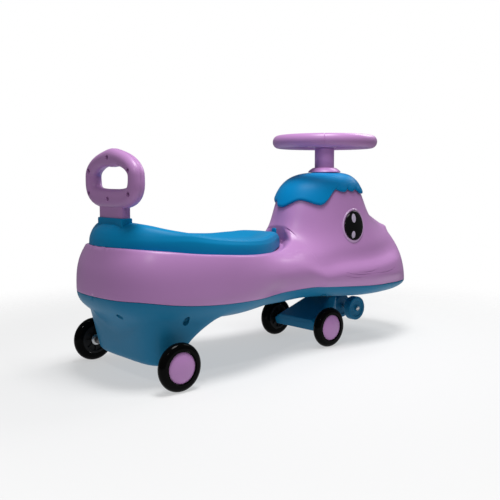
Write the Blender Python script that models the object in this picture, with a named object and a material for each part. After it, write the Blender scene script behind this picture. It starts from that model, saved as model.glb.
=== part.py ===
"""Toddler swing car: a ride-on that steers with one wheel and rolls on four.

Metres, +Z up, +X forward, the plane y = 0 splits the car into its two like
sides.  All heights are counted from the rear axle, and all stations along the
car from the rear axle too, because every piece hangs from that axle's line.
"""
import math

import bmesh
import bpy
import numpy as np
from mathutils import Matrix, Vector

for old in list(bpy.data.objects):
    bpy.data.objects.remove(old, do_unlink=True)

# Fits between pieces
TOUCH_GAP = 0.0003
FACET_GAP = 0.0010
NOSE_GAP = 0.0035
CAP_GAP = 0.0020
WALL = 0.003
BORE_PHASE = 0.11

# Running gear
WHEEL_RADIUS = 0.040
WHEEL_WIDTH = 0.0201
TYRE_DEPTH = 0.0130
REAR_TRACK = 0.2982
FRONT_TRACK = 0.1768
WHEELBASE = 0.412
TRAIL = 0.066
AXLE_RADIUS = 0.004
HUB_CAP_RADIUS = 0.0255
HUB_CAP_BULGE = 0.0035
HUB_CAP_RIM_SET_BACK = 0.0015
HUB_CAP_SKIN = 0.0018
CORE_WEB = 0.0090
PUSH_NUT_RADIUS = 0.0085
PUSH_NUT_THICKNESS = 0.0022
SPACER_RADIUS = 0.0065

PIVOT_X = WHEELBASE + TRAIL
ORIGIN_FROM_REAR_AXLE = 0.3002

# Body: five swellings that flow into each other
REAR_BODY_X = 0.0855
REAR_BODY_Z = 0.1126
REAR_BODY_BACK = 0.161
REAR_BODY_FRONT = 0.151
REAR_BODY_HALF_WIDTH = 0.139
REAR_BODY_RISE = 0.119
REAR_BODY_DROP = 0.059

WAIST_X = 0.270
WAIST_Z = 0.120
WAIST_BACK = 0.204
WAIST_TO_PIVOT = 0.028
WAIST_HALF_WIDTH = 0.103
WAIST_RISE = 0.054
WAIST_DROP = 0.068

HEAD_AHEAD_OF_PIVOT = 0.0125
HEAD_Z = 0.1245
HEAD_BACK = 0.144
HEAD_FRONT = 0.063
HEAD_HALF_WIDTH = 0.087
HEAD_RISE = 0.1825
HEAD_DROP = 0.042

BILL_AHEAD_OF_PIVOT = 0.0925
BILL_Z = 0.080
BILL_BACK = 0.157
BILL_FRONT = 0.106
BILL_HALF_WIDTH = 0.1105
BILL_RISE = 0.1415
BILL_DROP = 0.0335

POD_FLOOR = -0.0095
POD_BACK = 0.0215
POD_FRONT = 0.0260
POD_HALF_WIDTH = 0.101
POD_BACK_SLOPE = 0.20
POD_SIDE_SLOPE = 0.20
POD_RAMP_REACH = 0.116
POD_RAMP_HEIGHT = 0.077
POD_RAMP_POWER = 2.0
POD_CORNER_POWER = 4.5
POD_TOP = 0.085

REAR_TO_WAIST_BLEND = 0.071
BODY_TO_BILL_BLEND = 0.0865
BODY_TO_HEAD_BLEND = 0.095
POD_BLEND = 0.012
POD_REAR_FILLET = 0.030
POD_FILLET_HALF_WIDTH = 0.055
EDGE_BLEND = 0.003
NAPE_BLEND = 0.038
NAPE_BLEND_HEIGHT = 0.030
NAPE_SLOPE = 6.0
BELLY_HEIGHT = 0.054
BELLY_BLEND = 0.010

# The line where the two shells meet: station and height
PARTING_LINE = [
    (-0.085, 0.1050), (-0.050, 0.1045), (0.000, 0.0980), (0.050, 0.0928),
    (0.100, 0.0895), (0.160, 0.0880), (0.220, 0.0863),
    (PIVOT_X - 0.198, 0.0870), (PIVOT_X - 0.148, 0.0885), (PIVOT_X - 0.108, 0.0880),
    (PIVOT_X - 0.058, 0.0845), (PIVOT_X + 0.022, 0.0810), (PIVOT_X + 0.102, 0.0800),
    (PIVOT_X + 0.202, 0.0810),
]
# The deck that carries the seat: station and height
SEAT_NOSE_X = PIVOT_X - 0.133
DECK_LINE = [
    (-0.070, 0.1890), (0.000, 0.1825), (0.050, 0.1765), (0.100, 0.1720),
    (0.190, 0.1650), (0.250, 0.1630), (SEAT_NOSE_X - 0.045, 0.1640), (SEAT_NOSE_X, 0.1690),
]
DECK_SIDE_RAMP = 1.2
DECK_SIDE_LEDGE = 0.010
DECK_NOSE_LEDGE = 0.003

# Where the fans of body sections stand
TAIL_FAN_X = 0.050
SNOUT_FAN_X = PIVOT_X + 0.022
NAPE_X = PIVOT_X - 0.068
NAPE_REACH = 0.10
NAPE_TILT = math.radians(18.0)
CORNER_WEIGHT = 0.020

# Seat
SEAT_WIDEST_X = 0.090
SEAT_TAIL_X = -0.062
SEAT_HALF_WIDTH = 0.122
SEAT_SKIN = 0.003
SEAT_DISH = 0.007
SEAT_HEIGHTS = [
    (-0.062, 0.029), (-0.048, 0.0325), (-0.028, 0.0415), (-0.010, 0.0400), (0.015, 0.0352),
    (0.050, 0.0308), (0.080, 0.0290), (0.110, 0.0275), (0.160, 0.0268), (0.225, 0.0268),
    (SEAT_NOSE_X - 0.057, 0.0300), (SEAT_NOSE_X - 0.022, 0.0235), (SEAT_NOSE_X, 0.0120),
]
TONGUE_WIDTH = 0.012
TONGUE_THICKNESS = 0.004
TONGUE_HEIGHT = 0.017
TONGUE_FROM_NOSE = 0.012

# Grab handle
HANDLE_X = -0.0315
SOCKET_RISE = 0.0070
SOCKET_ROOT = 0.010
SOCKET_THICKNESS = 0.0213
SOCKET_HALF_WIDTH = 0.0400
SOCKET_POCKET_DEPTH = 0.024
BLADE_THICKNESS = 0.016
BLADE_HALF_WIDTH = 0.0365
RING_HALF_WIDTH = 0.0695
RING_ABOVE_SOCKET = 0.0315
RING_SPAN = 0.0682
RING_SIDE_TUBE = 0.0130
RING_TOP_TUBE = 0.0127
RING_BOTTOM_TUBE = 0.0165
RING_DEPTH_TUBE = 0.0135
RING_BOSS = 0.0030
RING_BOSS_WIDTH = 0.018
RING_TOP_TAPER = 0.10
RING_TOP_POWER = 2.2
RING_BOTTOM_POWER = 3.4
RING_SCREW_INSET = 0.0055
RING_UPPER_SCREW_RISE = 0.0125
RING_LOWER_SCREW_DROP = 0.0255
SCREW_HEAD_RADIUS = 0.0028
SCREW_SHANK_RADIUS = 0.0014
SCREW_HEAD_HEIGHT = 0.002
HANDLE_SCREW_LENGTH = 0.014

# Hair cap: bearing round the head, degrees from straight ahead, and edge height
CAP_THICKNESS = 0.0035
CAP_HOLE_RADIUS = 0.0255
CAP_EDGE_NEAR = [
    (0, 0.266), (8, 0.274), (17, 0.266), (27, 0.276), (37, 0.267), (46, 0.2765),
    (55, 0.268), (63.4, 0.2774), (71.5, 0.2724), (78.6, 0.2774), (87, 0.2716),
    (101, 0.2764), (119, 0.257), (131, 0.2462), (144.6, 0.2512), (157.6, 0.2557),
    (167, 0.2505),
]
CAP_EDGE_TAIL = [(175, 0.2532), (185, 0.2416)]

# Eyes
EYE_X = PIVOT_X - 0.0095
EYE_Z = 0.2048
EYE_HALF_WIDTH = 0.023
EYE_HALF_HEIGHT = 0.0288
EYE_BULGE = 0.006
EYE_LEAN = 0.21

# Steering
SHAFT_RADIUS = 0.010
SHAFT_END_RADIUS = 0.005
SLEEVE_RADIUS = 0.0205
COLLAR_RADIUS = 0.035
COLLAR_TOP_RADIUS = 0.0285
COLLAR_HEIGHT = 0.0105
COLLAR_SPIGOT_RADIUS = 0.0243
COLLAR_SPIGOT_DEPTH = 0.014
STEERING_WHEEL_Z = 0.3768
STEERING_WHEEL_RADIUS = 0.110
GRIP_HALF_HEIGHT = 0.0135
GRIP_HALF_WIDTH = 0.0125
HUB_RADIUS = 0.032
HUB_HALF_HEIGHT = 0.0125
SPOKE_WIDTH = 0.030
SPOKE_HALF_HEIGHT = 0.0065
WHEEL_CAP_RADIUS = 0.0225
WHEEL_CAP_DEPTH = 0.0060
WHEEL_BOLT_HEAD_RADIUS = 0.0055
WHEEL_BOLT_RADIUS = 0.0025
WHEEL_BOLT_LENGTH = 0.016

# Steering truck under the head
BUSH_FLANGE_RADIUS = 0.026
BUSH_FLANGE_THICKNESS = 0.0034
BUSH_SPIGOT_RADIUS = 0.0150
BUSH_SPIGOT_HEIGHT = 0.012
BOSS_RADIUS = 0.030
BOSS_FLOOR = 0.0150
BOSS_FLOOR_THICKNESS = 0.007
LOCK_NUT_RADIUS = 0.0105
LOCK_NUT_HEIGHT = 0.0070
HOUSING_HALF_LENGTH = 0.0625
HOUSING_TOP_HALF_LENGTH = 0.0480
HOUSING_SHOULDER = 0.0020
HOUSING_BACK = 0.018
HOUSING_FRONT = 0.018
HOUSING_BOTTOM = -0.0130
HOUSING_TOP = 0.0130
ROLLER_AHEAD_OF_PIVOT = 0.078
ROLLER_Z = 0.015
ROLLER_RADIUS = 0.0258
ROLLER_WIDTH = 0.0170
ARM_HALF_WIDTH = 0.0120
ARM_HALF_HEIGHT = 0.0105
ROLLER_PIN_RADIUS = 0.003
ROLLER_NUT_RADIUS = 0.0050
ROLLER_NUT_THICKNESS = 0.0030
SIDE_PLAY = 0.0005

# Screws that join the shells: station and distance from the middle
BODY_SCREWS = [(-0.0535, 0.0487), (0.0297, 0.1164), (PIVOT_X - 0.0736, 0.0700)]
SCREW_WELL_RADIUS = 0.0050
SCREW_BOSS_RADIUS = 0.0085
SCREW_POST_RADIUS = 0.0065
SCREW_BOSS_FLOOR = 0.006
NECK_POST_HEIGHT = 0.030
POST_RIB_THICKNESS = 0.003
BODY_SCREW_LENGTH = 0.020


# Frames

def make_empty(name, place, parent=None):
    """A guide point that pieces hang from."""
    empty = bpy.data.objects.new(name, None)
    empty.location = place
    empty.parent = parent
    bpy.context.scene.collection.objects.link(empty)
    return empty


CAR = make_empty("rear_axle_line", (-ORIGIN_FROM_REAR_AXLE, 0.0, WHEEL_RADIUS))
STEERING = make_empty("steering_axis", (PIVOT_X, 0.0, 0.0), CAR)


# Materials

def plastic(name, colour, roughness, metallic=0.0):
    """A plain surface with one colour."""
    material = bpy.data.materials.new(name)
    material.use_nodes = True
    shader = material.node_tree.nodes["Principled BSDF"]
    shader.inputs["Base Color"].default_value = (*colour, 1.0)
    shader.inputs["Roughness"].default_value = roughness
    shader.inputs["Metallic"].default_value = metallic
    material.diffuse_color = (*colour, 1.0)
    return material


LILAC = plastic("lilac_plastic", (0.47, 0.24, 0.50), 0.38)
CAP_BLUE = plastic("cap_blue_plastic", (0.00, 0.23, 0.50), 0.40)
SEAT_BLUE = plastic("seat_blue_plastic", (0.00, 0.19, 0.36), 0.42)
SHELL_BLUE = plastic("shell_blue_plastic", (0.02, 0.15, 0.27), 0.42)
TRUCK_BLUE = plastic("truck_blue_plastic", (0.00, 0.08, 0.16), 0.40)
TYRE_BLACK = plastic("tyre_black", (0.01, 0.01, 0.01), 0.25)
CORE_BLACK = plastic("core_black", (0.02, 0.02, 0.02), 0.45)
EYE_BLACK = plastic("eye_black", (0.005, 0.005, 0.005), 0.15)
BUSH_WHITE = plastic("bush_nylon", (0.75, 0.74, 0.70), 0.45)
STEEL = plastic("steel", (0.55, 0.55, 0.56), 0.30, 1.0)


# Meshes

def add_piece(name, vertices, faces, material, parent=CAR, place=(0.0, 0.0, 0.0), sharp=35.0):
    """Put one closed mesh into the scene with its faces turned outwards."""
    mesh = bpy.data.meshes.new(name)
    mesh.from_pydata([tuple(v) for v in vertices], [], [tuple(f) for f in faces])
    work = bmesh.new()
    work.from_mesh(mesh)
    bmesh.ops.remove_doubles(work, verts=work.verts, dist=1e-6)
    bmesh.ops.dissolve_degenerate(work, edges=work.edges, dist=1e-6)
    bmesh.ops.recalc_face_normals(work, faces=work.faces)
    work.to_mesh(mesh)
    work.free()
    mesh.materials.append(material)
    mesh.shade_smooth()
    mesh.set_sharp_from_angle(angle=math.radians(sharp))
    piece = bpy.data.objects.new(name, mesh)
    piece.parent = parent
    piece.location = place
    bpy.context.scene.collection.objects.link(piece)
    return piece


def grid_faces(rows, columns, wrap_rows=False, wrap_columns=False, start=0):
    """Quads of a grid of rows x columns points, numbered row by row."""
    last_row = rows if wrap_rows else rows - 1
    last_column = columns if wrap_columns else columns - 1
    faces = []
    for i in range(last_row):
        for j in range(last_column):
            a = start + i * columns + j
            b = start + i * columns + (j + 1) % columns
            c = start + ((i + 1) % rows) * columns + (j + 1) % columns
            d = start + ((i + 1) % rows) * columns + j
            faces.append((a, b, c, d))
    return faces


def two_skins(outer, inner, wrap_rows):
    """Vertices and faces of a wall between two grids, closed at both edges."""
    rows, columns = outer.shape[:2]
    vertices = np.concatenate([outer.reshape(-1, 3), inner.reshape(-1, 3)])
    second = rows * columns
    faces = []
    for a, b, c, d in grid_faces(rows, columns, wrap_rows):
        faces += [(a, b, c), (a, c, d)]
        faces += [(second + c, second + b, second + a), (second + d, second + c, second + a)]
    steps = rows if wrap_rows else rows - 1
    for i in range(steps):
        for edge in (0, columns - 1):
            a = i * columns + edge
            b = ((i + 1) % rows) * columns + edge
            quad = (a, b, second + b, second + a)
            faces.append(quad if edge else quad[::-1])
    return vertices, faces


def turned(profile, segments, axis="Z", phase=0.0):
    """Turn a closed outline of (radius, height) points round an axis."""
    turns = phase + np.arange(segments) * 2.0 * math.pi / segments
    outline = np.array(profile, dtype=float)
    rings = np.zeros((segments, len(outline), 3))
    rings[..., 0] = np.cos(turns)[:, None] * outline[:, 0]
    rings[..., 1] = np.sin(turns)[:, None] * outline[:, 0]
    rings[..., 2] = outline[:, 1]
    if axis == "Y":
        rings = np.stack([rings[..., 0], rings[..., 2], -rings[..., 1]], axis=-1)
    if axis == "X":
        rings = np.stack([rings[..., 2], rings[..., 1], -rings[..., 0]], axis=-1)
    on_axis = outline[:, 0] < 1e-9
    count = len(outline)
    faces = [f for f in grid_faces(segments, count, True, True) if not (on_axis[f[0] % count] and on_axis[f[1] % count])]
    return rings.reshape(-1, 3), faces


def add_turned(name, profile, segments, material, axis="Z", phase=0.0, **placing):
    """A solid of revolution as a piece."""
    vertices, faces = turned(profile, segments, axis, phase)
    return add_piece(name, vertices, faces, material, **placing)


def bore_out(piece, name, profile, segments, axis="Z", parent=CAR, place=(0.0, 0.0, 0.0)):
    """Cut a round hole with a given outline from a piece."""
    cutter = add_turned(name, profile, segments, STEEL, axis, BORE_PHASE, parent=parent, place=place)
    combine(piece, cutter, "DIFFERENCE")


def add_hull(name, points, material, **placing):
    """The smallest convex solid round some points, as a piece."""
    work = bmesh.new()
    for point in points:
        work.verts.new(point)
    result = bmesh.ops.convex_hull(work, input=work.verts)
    loose = [e for e in result["geom_interior"] if isinstance(e, bmesh.types.BMVert)]
    bmesh.ops.delete(work, geom=loose, context="VERTS")
    work.verts.index_update()
    vertices = [v.co.copy() for v in work.verts]
    faces = [[v.index for v in f.verts] for f in work.faces]
    work.free()
    return add_piece(name, vertices, faces, material, **placing)


def add_block(name, low, high, material, **placing):
    """A block between two corners, as a piece."""
    corners = [(x, y, z) for x in (low[0], high[0]) for y in (low[1], high[1]) for z in (low[2], high[2])]
    return add_hull(name, corners, material, **placing)


def rod(radius, low, high):
    """Outline of a plain round bar between two heights."""
    return [(0.0, low), (radius, low), (radius, high), (0.0, high)]


def tube(inner, outer, low, high):
    """Outline of a plain ring or tube."""
    return [(inner, low), (outer, low), (outer, high), (inner, high)]


def combine(piece, helper, operation):
    """Join a helper solid to a piece, or cut it away, and hide the helper."""
    modifier = piece.modifiers.new(helper.name, "BOOLEAN")
    modifier.operation = operation
    modifier.solver = "EXACT"
    modifier.object = helper
    helper.hide_render = True
    helper.display_type = "WIRE"


# Shape of the body

def smooth_line(points):
    """A smooth height along the car, through some (station, height) points."""
    stations = np.array([p[0] for p in points])
    heights = np.array([p[1] for p in points])
    slopes = np.gradient(heights, stations)

    def height(x):
        """Cubic pieces that keep the slope at each point."""
        x = np.clip(np.asarray(x, dtype=float), stations[0], stations[-1])
        i = np.clip(np.searchsorted(stations, x, side="right") - 1, 0, len(stations) - 2)
        span = stations[i + 1] - stations[i]
        t = (x - stations[i]) / span
        return ((2 * t ** 3 - 3 * t ** 2 + 1) * heights[i] + (t ** 3 - 2 * t ** 2 + t) * span * slopes[i]
                + (3 * t ** 2 - 2 * t ** 3) * heights[i + 1] + (t ** 3 - t ** 2) * span * slopes[i + 1])
    return height


parting_height = smooth_line(PARTING_LINE)
deck_height = smooth_line(DECK_LINE)
seat_rise = smooth_line(SEAT_HEIGHTS)


def swelling(x, y, z, centre, back, front, half_width, rise, drop, plan_power, side_power):
    """Signed distance, nearly, from a rounded egg with its own reach each way."""
    dx, dz = x - centre[0], z - centre[1]
    along = np.abs(dx) / np.where(dx < 0, back, front)
    across = np.abs(y) / half_width
    up = np.abs(dz) / np.where(dz < 0, drop, rise)
    plan = (along ** plan_power + across ** plan_power + 1e-12) ** (side_power / plan_power)
    size = np.maximum((plan + up ** side_power) ** (1.0 / side_power), 1e-6)
    return np.sqrt(dx ** 2 + y ** 2 + dz ** 2) * (1.0 - 1.0 / size)


def melt(a, b, blend):
    """Smooth union of two distances."""
    h = np.clip(0.5 + 0.5 * (b - a) / blend, 0.0, 1.0)
    return b * (1.0 - h) + a * h - blend * h * (1.0 - h)


def trim(a, b, blend):
    """Smooth intersection of two distances."""
    return -melt(-a, -b, blend)


def pod(x, y, z):
    """The box round the rear axle: it widens upwards, with a long front ramp."""
    height = np.clip(z - POD_FLOOR, 0.0, None)
    middle = (POD_FRONT - POD_BACK) / 2.0 + 0.028
    back = middle + POD_BACK + POD_BACK_SLOPE * height
    ramp = POD_RAMP_REACH * np.minimum(height / POD_RAMP_HEIGHT, 1.17) ** POD_RAMP_POWER
    front = np.maximum(POD_FRONT + ramp - middle, 0.004)
    half_width = POD_HALF_WIDTH + POD_SIDE_SLOPE * height
    reach = np.where(x < middle, back, front)
    power = POD_CORNER_POWER
    size = (np.abs((x - middle) / reach) ** power + np.abs(y / half_width) ** power + 1e-9) ** (1.0 / power)
    walls = (size - 1.0) * np.minimum(reach, half_width)
    return trim(trim(walls, POD_FLOOR - z, 0.012), z - POD_TOP, 0.020)


def seat_half_width(x):
    """Half width of the seat's outline: blunt at the tail, a soft point at the nose."""
    behind = np.clip((SEAT_WIDEST_X - x) / (SEAT_WIDEST_X - SEAT_TAIL_X), 0.0, 1.0)
    ahead = np.clip((x - SEAT_WIDEST_X) / (SEAT_NOSE_X - SEAT_WIDEST_X), 0.0, 1.0)
    tail = (1.0 - behind ** 2.3) ** (1.0 / 2.3)
    nose = (1.0 - ahead ** 2) ** 0.83
    return SEAT_HALF_WIDTH * np.where(x < SEAT_WIDEST_X, tail, nose)


def body(x, y, z):
    """Signed distance, nearly, from the outside of the two body shells."""
    waist_front = PIVOT_X - WAIST_TO_PIVOT - WAIST_X
    rear = swelling(x, y, z, (REAR_BODY_X, REAR_BODY_Z), REAR_BODY_BACK, REAR_BODY_FRONT,
                    REAR_BODY_HALF_WIDTH, REAR_BODY_RISE, REAR_BODY_DROP, 2.9, 2.7)
    waist = swelling(x, y, z, (WAIST_X, WAIST_Z), WAIST_BACK, waist_front,
                     WAIST_HALF_WIDTH, WAIST_RISE, WAIST_DROP, 2.5, 2.1)
    bill = swelling(x, y, z, (PIVOT_X + BILL_AHEAD_OF_PIVOT, BILL_Z), BILL_BACK, BILL_FRONT,
                    BILL_HALF_WIDTH, BILL_RISE, BILL_DROP, 2.4, 1.94)
    head = swelling(x, y, z, (PIVOT_X + HEAD_AHEAD_OF_PIVOT, HEAD_Z), HEAD_BACK, HEAD_FRONT,
                    HEAD_HALF_WIDTH, HEAD_RISE, HEAD_DROP, 2.0, 3.8)
    whole = melt(rear, waist, REAR_TO_WAIST_BLEND)
    whole = melt(whole, bill, BODY_TO_BILL_BLEND)
    whole = melt(whole, head, BODY_TO_HEAD_BLEND)
    behind = np.clip((TAIL_FAN_X - x) / TAIL_FAN_X, 0.0, 1.0)
    fillet = POD_BLEND + POD_REAR_FILLET * behind * np.exp(-(y / POD_FILLET_HALF_WIDTH) ** 2)
    whole = melt(whole, pod(x, y, z), fillet)
    beside = np.maximum(np.abs(y) - seat_half_width(x) - DECK_SIDE_LEDGE, 0.0)
    beside = beside * np.clip((x - 0.22) / 0.06, 0.0, 1.0)
    above = z - deck_height(x) - DECK_SIDE_RAMP * beside
    nape = SEAT_NOSE_X + DECK_NOSE_LEDGE + above / NAPE_SLOPE - x
    rounding = np.clip(above / NAPE_BLEND_HEIGHT, 0.0, 1.0)
    whole = trim(whole, melt(above, nape, EDGE_BLEND), EDGE_BLEND + (NAPE_BLEND - EDGE_BLEND) * rounding)
    under_head = np.clip((x - WAIST_X) / 0.05, 0.0, 1.0)
    return trim(whole, BELLY_HEIGHT * under_head - (1.0 - under_head) - z, BELLY_BLEND)


def reach_of(field, start, direction, level=0.0, far=0.45):
    """How far each ray runs from inside the field until it leaves it."""
    steps = np.linspace(0.0, far, 61)
    probes = start[..., None, :] + direction[..., None, :] * steps[:, None]
    outside = field(probes[..., 0], probes[..., 1], probes[..., 2]) > level
    first = np.argmax(outside, axis=-1)
    low, high = steps[np.maximum(first - 1, 0)], steps[first]
    for _ in range(22):
        middle = 0.5 * (low + high)
        probe = start + direction * middle[..., None]
        out = field(probe[..., 0], probe[..., 1], probe[..., 2]) > level
        low, high = np.where(out, low, middle), np.where(out, middle, high)
    return 0.5 * (low + high)


def outward(field, points, step=1e-4):
    """Unit normals of a field at some points."""
    x, y, z = points[..., 0], points[..., 1], points[..., 2]
    slope = np.stack([
        field(x + step, y, z) - field(x - step, y, z),
        field(x, y + step, z) - field(x, y - step, z),
        field(x, y, z + step) - field(x, y, z - step),
    ], axis=-1)
    return slope / np.maximum(np.linalg.norm(slope, axis=-1, keepdims=True), 1e-12)


def fan_sections(middle, tail_count, snout_count):
    """Start station and bearing of each section: a fan, the stations between, a fan."""
    quarter = math.pi / 2.0
    middle = np.array(middle)
    tail = np.linspace(0.0, quarter, tail_count, endpoint=False)
    snout = np.linspace(quarter, math.pi, snout_count + 1)[1:]
    starts = np.concatenate([np.full(tail_count, middle[0]), middle, np.full(snout_count, middle[-1])])
    bearings = np.concatenate([tail, np.full(len(middle), quarter), snout])
    return starts, bearings


def body_stations(side):
    """Stations between the two fans, closer together at the nape of the upper shell."""
    if side < 0:
        pod_end = np.linspace(TAIL_FAN_X, TAIL_FAN_X + 0.08, 5, endpoint=False)
        return np.concatenate([pod_end, np.linspace(TAIL_FAN_X + 0.08, SNOUT_FAN_X, 10)])
    waist = np.linspace(TAIL_FAN_X, NAPE_X - 0.115, 7, endpoint=False)
    nape = np.linspace(NAPE_X - 0.115, NAPE_X + 0.030, 11, endpoint=False)
    return np.concatenate([waist, nape, np.linspace(NAPE_X + 0.030, SNOUT_FAN_X, 4)])


def spread_along(trace):
    """Length along each section, in which a bend counts as extra length, so that corners get points."""
    steps = np.diff(trace, axis=1)
    spans = np.linalg.norm(steps, axis=-1)
    ways = steps / np.maximum(spans, 1e-9)[..., None]
    bends = np.arccos(np.clip(np.sum(ways[:, 1:] * ways[:, :-1], axis=-1), -1.0, 1.0))
    spans[:, 1:] += CORNER_WEIGHT * bends
    return np.concatenate([np.zeros((len(trace), 1)), np.cumsum(spans, axis=1)], axis=1)


def shell_skins(side, gap, across):
    """Outer and inner skin of a shell: sections fan from the parting line over the car.

    Points are worked out in a space where the parting line lies flat, so both
    shells share one rim.  side is +1 for the upper shell and -1 for the lower.
    """
    starts, bearings = fan_sections(body_stations(side), 8, 8)
    tilt = np.where(side > 0, NAPE_TILT, 0.0) * np.clip(1.0 - ((starts - NAPE_X) / NAPE_REACH) ** 2, 0.0, 1.0)

    def flat_body(x, y, z):
        """The body's distance with the parting line flattened to zero."""
        return body(x, y, z + parting_height(x) + gap)

    def directions(lift):
        """Ray directions for each section and each lift from the rim."""
        a, t = bearings[:, None], tilt[:, None]
        x = -np.cos(a) - np.tan(t) * np.sin(a) * np.sin(lift)
        y = -np.sin(a) * np.cos(lift)
        z = side * np.sin(a) * np.sin(lift)
        way = np.stack([x, y, z], axis=-1)
        return way / np.linalg.norm(way, axis=-1, keepdims=True)

    start = np.zeros((len(starts), 1, 3))
    start[:, 0, 0] = starts
    even = np.repeat(np.linspace(0.0, math.pi / 2.0, 61)[None, :], len(starts), axis=0)
    way = directions(even)
    trace = start + way * reach_of(flat_body, start + 0.0 * way, way)[..., None]
    length = spread_along(trace)
    lift = np.zeros((len(starts), across + 1))
    for i in range(len(starts)):
        total = max(length[i, -1], 1e-9)
        lift[i] = np.interp(np.linspace(0.0, 1.0, across + 1), length[i] / total, even[i])
    lift[0], lift[-1] = lift[1], lift[-2]
    way = directions(lift)
    reach = reach_of(flat_body, start + 0.0 * way, way)
    outer = start + way * reach[..., None]
    facing = np.maximum(np.sum(outward(flat_body, outer) * way, axis=-1), 0.45)
    inner = start + way * (reach - WALL / facing)[..., None]
    skins = []
    for skin in (outer, inner):
        far_side = skin[:, -2::-1] * np.array([1.0, -1.0, 1.0])
        both = np.concatenate([skin, far_side], axis=1)
        both[..., 2] += parting_height(both[..., 0]) + gap
        skins.append(both)
    return skins


def top_of_body(x, y):
    """Height of the body's upper surface at a place."""
    start = np.array([[x, y, float(parting_height(x))]])
    way = np.array([[0.0, 0.0, 1.0]])
    return start[0, 2] + float(reach_of(body, start, way)[0])


def bottom_of_body(x, y):
    """Height of the body's under surface at a place."""
    start = np.array([[x, y, float(parting_height(x))]])
    way = np.array([[0.0, 0.0, -1.0]])
    return start[0, 2] - float(reach_of(body, start, way, far=0.2)[0])


def side_of_body(x, z):
    """How far the body's side stands from the middle at a place."""
    start = np.array([[x, 0.0, z]])
    way = np.array([[0.0, 1.0, 0.0]])
    return float(reach_of(body, start, way, far=0.2)[0])


# Body shells with their screw posts

HEAD_TOP = top_of_body(PIVOT_X, 0.0)
CAP_TOP = HEAD_TOP + CAP_GAP + CAP_THICKNESS


def footprint(x, y, radius):
    """Eight places round a post."""
    turns = [i * math.pi / 4.0 for i in range(8)]
    return [(x + radius * math.cos(t), y + radius * math.sin(t)) for t in turns]


def make_upper_shell():
    """Lilac moulding: rear body, waist, head and bill, open below."""
    outer, inner = shell_skins(+1, 0.0, 7)
    vertices, faces = two_skins(outer, inner, False)
    shell = add_piece("upper_body_shell", vertices, faces, LILAC)
    for number, (x, y, side) in enumerate(screw_places()):
        low = float(parting_height(x)) + TOUCH_GAP
        high = min(top_of_body(*p) for p in footprint(x, y, SCREW_POST_RADIUS)) - WALL * 0.4
        if x > WAIST_X:
            high = low + NECK_POST_HEIGHT
            wall_y = min(side_of_body(x, low + 0.004), side_of_body(x, high - 0.004)) - WALL * 0.55
            near, far = sorted((y, side * wall_y))
            rib = add_block(f"upper_rib_{number}", (x - POST_RIB_THICKNESS / 2, near, low + 0.004),
                            (x + POST_RIB_THICKNESS / 2, far, high - 0.004), LILAC)
            combine(shell, rib, "UNION")
        post = add_turned(f"upper_post_{number}", rod(SCREW_POST_RADIUS, low, high), 8, LILAC, place=(x, y, 0))
        combine(shell, post, "UNION")
        bore_out(shell, f"upper_pilot_{number}",
                 rod(SCREW_SHANK_RADIUS + TOUCH_GAP, low - 0.01, low + BODY_SCREW_LENGTH), 6, place=(x, y, 0))
    bore_out(shell, "upper_bore", rod(COLLAR_SPIGOT_RADIUS + TOUCH_GAP, HEAD_TOP - 0.04, HEAD_TOP + 0.04), 28,
             place=(PIVOT_X, 0, 0))
    return shell


def screw_places():
    """Both sides of each pair of body screws."""
    return [(x, y * side, side) for x, y in BODY_SCREWS for side in (-1, 1)]


def boss_top(x):
    """Height where a lower screw boss ends, just under the post above it."""
    return float(parting_height(x))


def make_lower_shell():
    """Blue moulding: band, belly and the pod that carries the rear axle."""
    outer, inner = shell_skins(-1, -TOUCH_GAP, 7)
    vertices, faces = two_skins(outer, inner, False)
    shell = add_piece("lower_body_shell", vertices, faces, SHELL_BLUE)
    for number, (x, y, side) in enumerate(screw_places()):
        middle = bottom_of_body(x, y)
        low = middle - 0.02
        high = boss_top(x)
        ring = footprint(x, y, SCREW_BOSS_RADIUS)
        foot = [(px, py, max(bottom_of_body(px, py), middle - 0.012) + WALL * 0.45) for px, py in ring]
        points = foot + [(px, py, high) for px, py in ring]
        sides = [(i, (i + 1) % 8, 8 + (i + 1) % 8, 8 + i) for i in range(8)]
        points += [(x, y, middle + WALL * 0.45)]
        under = [((i + 1) % 8, i, 16) for i in range(8)]
        boss = add_piece(f"lower_boss_{number}", points, sides + under + [tuple(range(8, 16))], SHELL_BLUE)
        combine(shell, boss, "UNION")
        bore_out(shell, f"screw_well_{number}", rod(SCREW_WELL_RADIUS, low - 0.08, high - SCREW_BOSS_FLOOR), 10,
                 place=(x, y, 0))
        bore_out(shell, f"lower_pilot_{number}", rod(SCREW_SHANK_RADIUS + TOUCH_GAP, low - 0.08, high + 0.01), 6,
                 place=(x, y, 0))
    bore_out(shell, "belly_bore", rod(BUSH_SPIGOT_RADIUS + TOUCH_GAP, 0.0, BELLY_HEIGHT + 0.02), 16,
             place=(PIVOT_X, 0, 0))
    bore_out(shell, "axle_bore", rod(AXLE_RADIUS + TOUCH_GAP, -REAR_TRACK, REAR_TRACK), 12, axis="Y")
    return shell


def make_body_screws():
    """Six screws: head in the lower well, thread in the upper post."""
    for number, (x, y, side) in enumerate(screw_places(), start=1):
        seat = boss_top(x) - SCREW_BOSS_FLOOR - TOUCH_GAP
        profile = [(0.0, seat - 0.0025), (0.0042, seat - 0.0025), (0.0042, seat),
                   (SCREW_SHANK_RADIUS, seat), (SCREW_SHANK_RADIUS, seat + BODY_SCREW_LENGTH),
                   (0.0, seat + BODY_SCREW_LENGTH + 0.0008)]
        add_turned(f"body_screw_{number}", profile, 8, STEEL, place=(x, y, 0))


# Seat

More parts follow.
